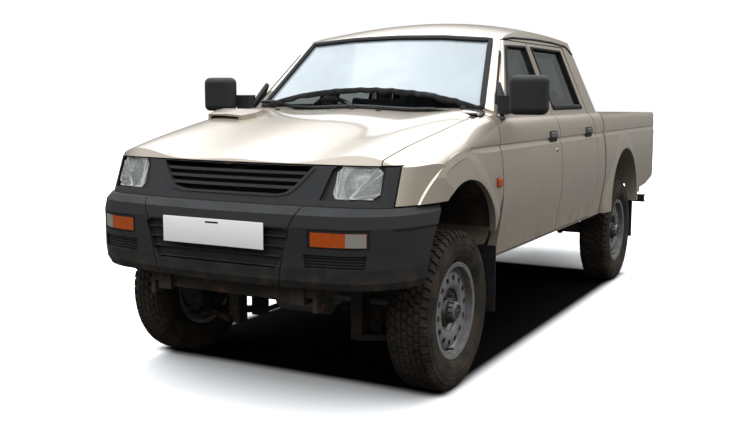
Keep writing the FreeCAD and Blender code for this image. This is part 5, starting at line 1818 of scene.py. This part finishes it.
@dataclass
class Studio:
    """Pale floor with a painted shadow under the truck, soft light and the camera at the photograph's angle.
    """

    camera: PhotoCamera = PhotoCamera()
    floor_half: float = 60.0
    key_height: float = 6.5
    key_size: float = 7.0
    key_power: float = 160.0
    # Where the painted shadow lies on the floor, and how soft its edge is.
    painted_shadow_across: tuple[float, float] = (-0.86, 0.80)
    painted_shadow_along: tuple[float, float] = (-1.86, 1.50)
    painted_shadow_edge: float = 0.05
    sky: float = 2.9
    horizon: float = 0.27
    dome_share: tuple[float, float] = (0.22, 0.72)

    def build(self) -> None:
        """Make the floor, the world, the lamp and the camera."""
        self.make_floor()
        self.make_world()
        self.make_key()
        self.make_camera()

    def make_floor(self) -> None:
        """A wide flat floor that is white to the eye, keeps the shadow and has a painted shadow between the
        wheels.
        """
        half = self.floor_half
        corners = [(-half, -half, 0), (half, -half, 0), (half, half, 0), (-half, half, 0)]
        mesh = bpy.data.meshes.new("studio_floor")
        mesh.from_pydata(corners, [], [(0, 1, 2, 3)])
        floor = bpy.data.objects.new("studio_floor", mesh)
        bpy.context.collection.objects.link(floor)
        shader = Shader("floor_paper")
        seen = self.seen_directly(shader)
        paper = shader.surface(Base_Color=(0.050, 0.045, 0.038), Roughness=0.9)
        bright = shader.surface(Base_Color=(0.95, 0.95, 0.95), Roughness=1.0, Specular_IOR_Level=0.0)
        # Near-black floor laid on by the mask: a painted shadow under the truck, not cast by any lamp.
        shade = shader.surface(Base_Color=(0.004, 0.004, 0.004), Roughness=1.0, Specular_IOR_Level=0.0)
        ground_with_painted_shadow = shader.node("ShaderNodeMixShader", inputs={0: self.painted_shadow_under_truck(shader), 1: bright, 2: shade})
        mesh.materials.append(shader.finish(
            shader.node("ShaderNodeMixShader", inputs={0: seen, 1: paper, 2: ground_with_painted_shadow})))
        floor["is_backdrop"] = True

    def painted_shadow_under_truck(self, shader: Shader) -> Value:
        """Painted shadow: 1 on the ground between the wheels, fading to 0 round them.

        Args:
            shader: The material to add the nodes to.

        Returns:
            The mask.
        """
        shares = []
        for letter, low, high in (("X", *self.painted_shadow_across), ("Y", *self.painted_shadow_along)):
            place = shader.axis(letter)
            shares += [place.ramp(low - self.painted_shadow_edge, low + self.painted_shadow_edge),
                       place.ramp(high + self.painted_shadow_edge, high - self.painted_shadow_edge)]
        return shares[0] * shares[1] * shares[2] * shares[3]

    def seen_directly(self, shader: Shader) -> Value:
        """1 for rays that show the background, 0 for rays that only light the truck.

        Args:
            shader: The material to add the node to.

        Returns:
            The mask.
        """
        camera = shader.node("ShaderNodeLightPath", output="Is Camera Ray")
        through = shader.node("ShaderNodeLightPath", output="Is Transmission Ray")
        return (camera + through).ramp(0.0, 0.5)

    def make_world(self) -> None:
        """A white world that lights softly and is pure white where it is seen."""
        shader = Shader("studio_world", world=True)
        direction = shader.node("ShaderNodeTexCoord", output="Generated")
        height = shader.node("ShaderNodeSeparateXYZ", inputs={0: direction}, output="Z")
        low, high, seen = (
            shader.node("ShaderNodeBackground", inputs={"Color": (*colour, 1.0), "Strength": strength})
            for colour, strength in ((HORIZON_TINT, self.horizon), (SKY_TINT, self.sky), (WHITE, 1.0)))
        dome = shader.node("ShaderNodeMixShader", inputs={0: height.ramp(*self.dome_share), 1: low, 2: high})
        bpy.context.scene.world = shader.finish(
            shader.node("ShaderNodeMixShader", inputs={0: self.seen_directly(shader), 1: dome, 2: seen}))
        bpy.context.scene.view_settings.view_transform = "Standard"

    def make_key(self) -> None:
        """One large lamp overhead."""
        lamp = bpy.data.lights.new("studio_key", "AREA")
        lamp.shape = "SQUARE"
        lamp.size = self.key_size
        lamp.energy = self.key_power
        key = bpy.data.objects.new("studio_key", lamp)
        key.location = (0.0, 0.0, self.key_height)
        bpy.context.collection.objects.link(key)

    def make_camera(self) -> None:
        """The camera at the place and angle fitted to the photograph."""
        data = bpy.data.cameras.new("portrait")
        data.sensor_width = self.camera.sensor
        data.lens = self.camera.lens
        camera = bpy.data.objects.new("portrait", data)
        camera.matrix_world = self.camera.matrix()
        bpy.context.collection.objects.link(camera)
        bpy.context.scene.camera = camera


WHEELS = tuple((f"{end}_{side}", f"{end}_{side}_wheel") for end in DOORS for _, side in PAIRS)


def main(frame: dict) -> None:
    """Build and dress the truck.
    """
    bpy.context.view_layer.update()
    nodes = frame["nodes"]
    truck = Truck(nodes)
    Bodywork().dress(nodes)
    LOG.info("dressed %d nodes", len(nodes))
    for node, body in WHEELS:
        Tyre(body, node + "_tyre").build(truck)
        Hub(body, node + "_wheel", 1 if "left" in node else -1).build(truck)
        LOG.info("built %s", node)
    for section in (SideTrim(), ScreenTrim(), FrontTrim(), MirrorTrim(), BedTrim(), Cabin()):
        section.build(truck)
        LOG.info("built %s", type(section).__name__)
    Studio().build()
    LOG.info("studio ready")


if __name__ == "__main__":
    logging.basicConfig(level=logging.INFO)
    main(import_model())
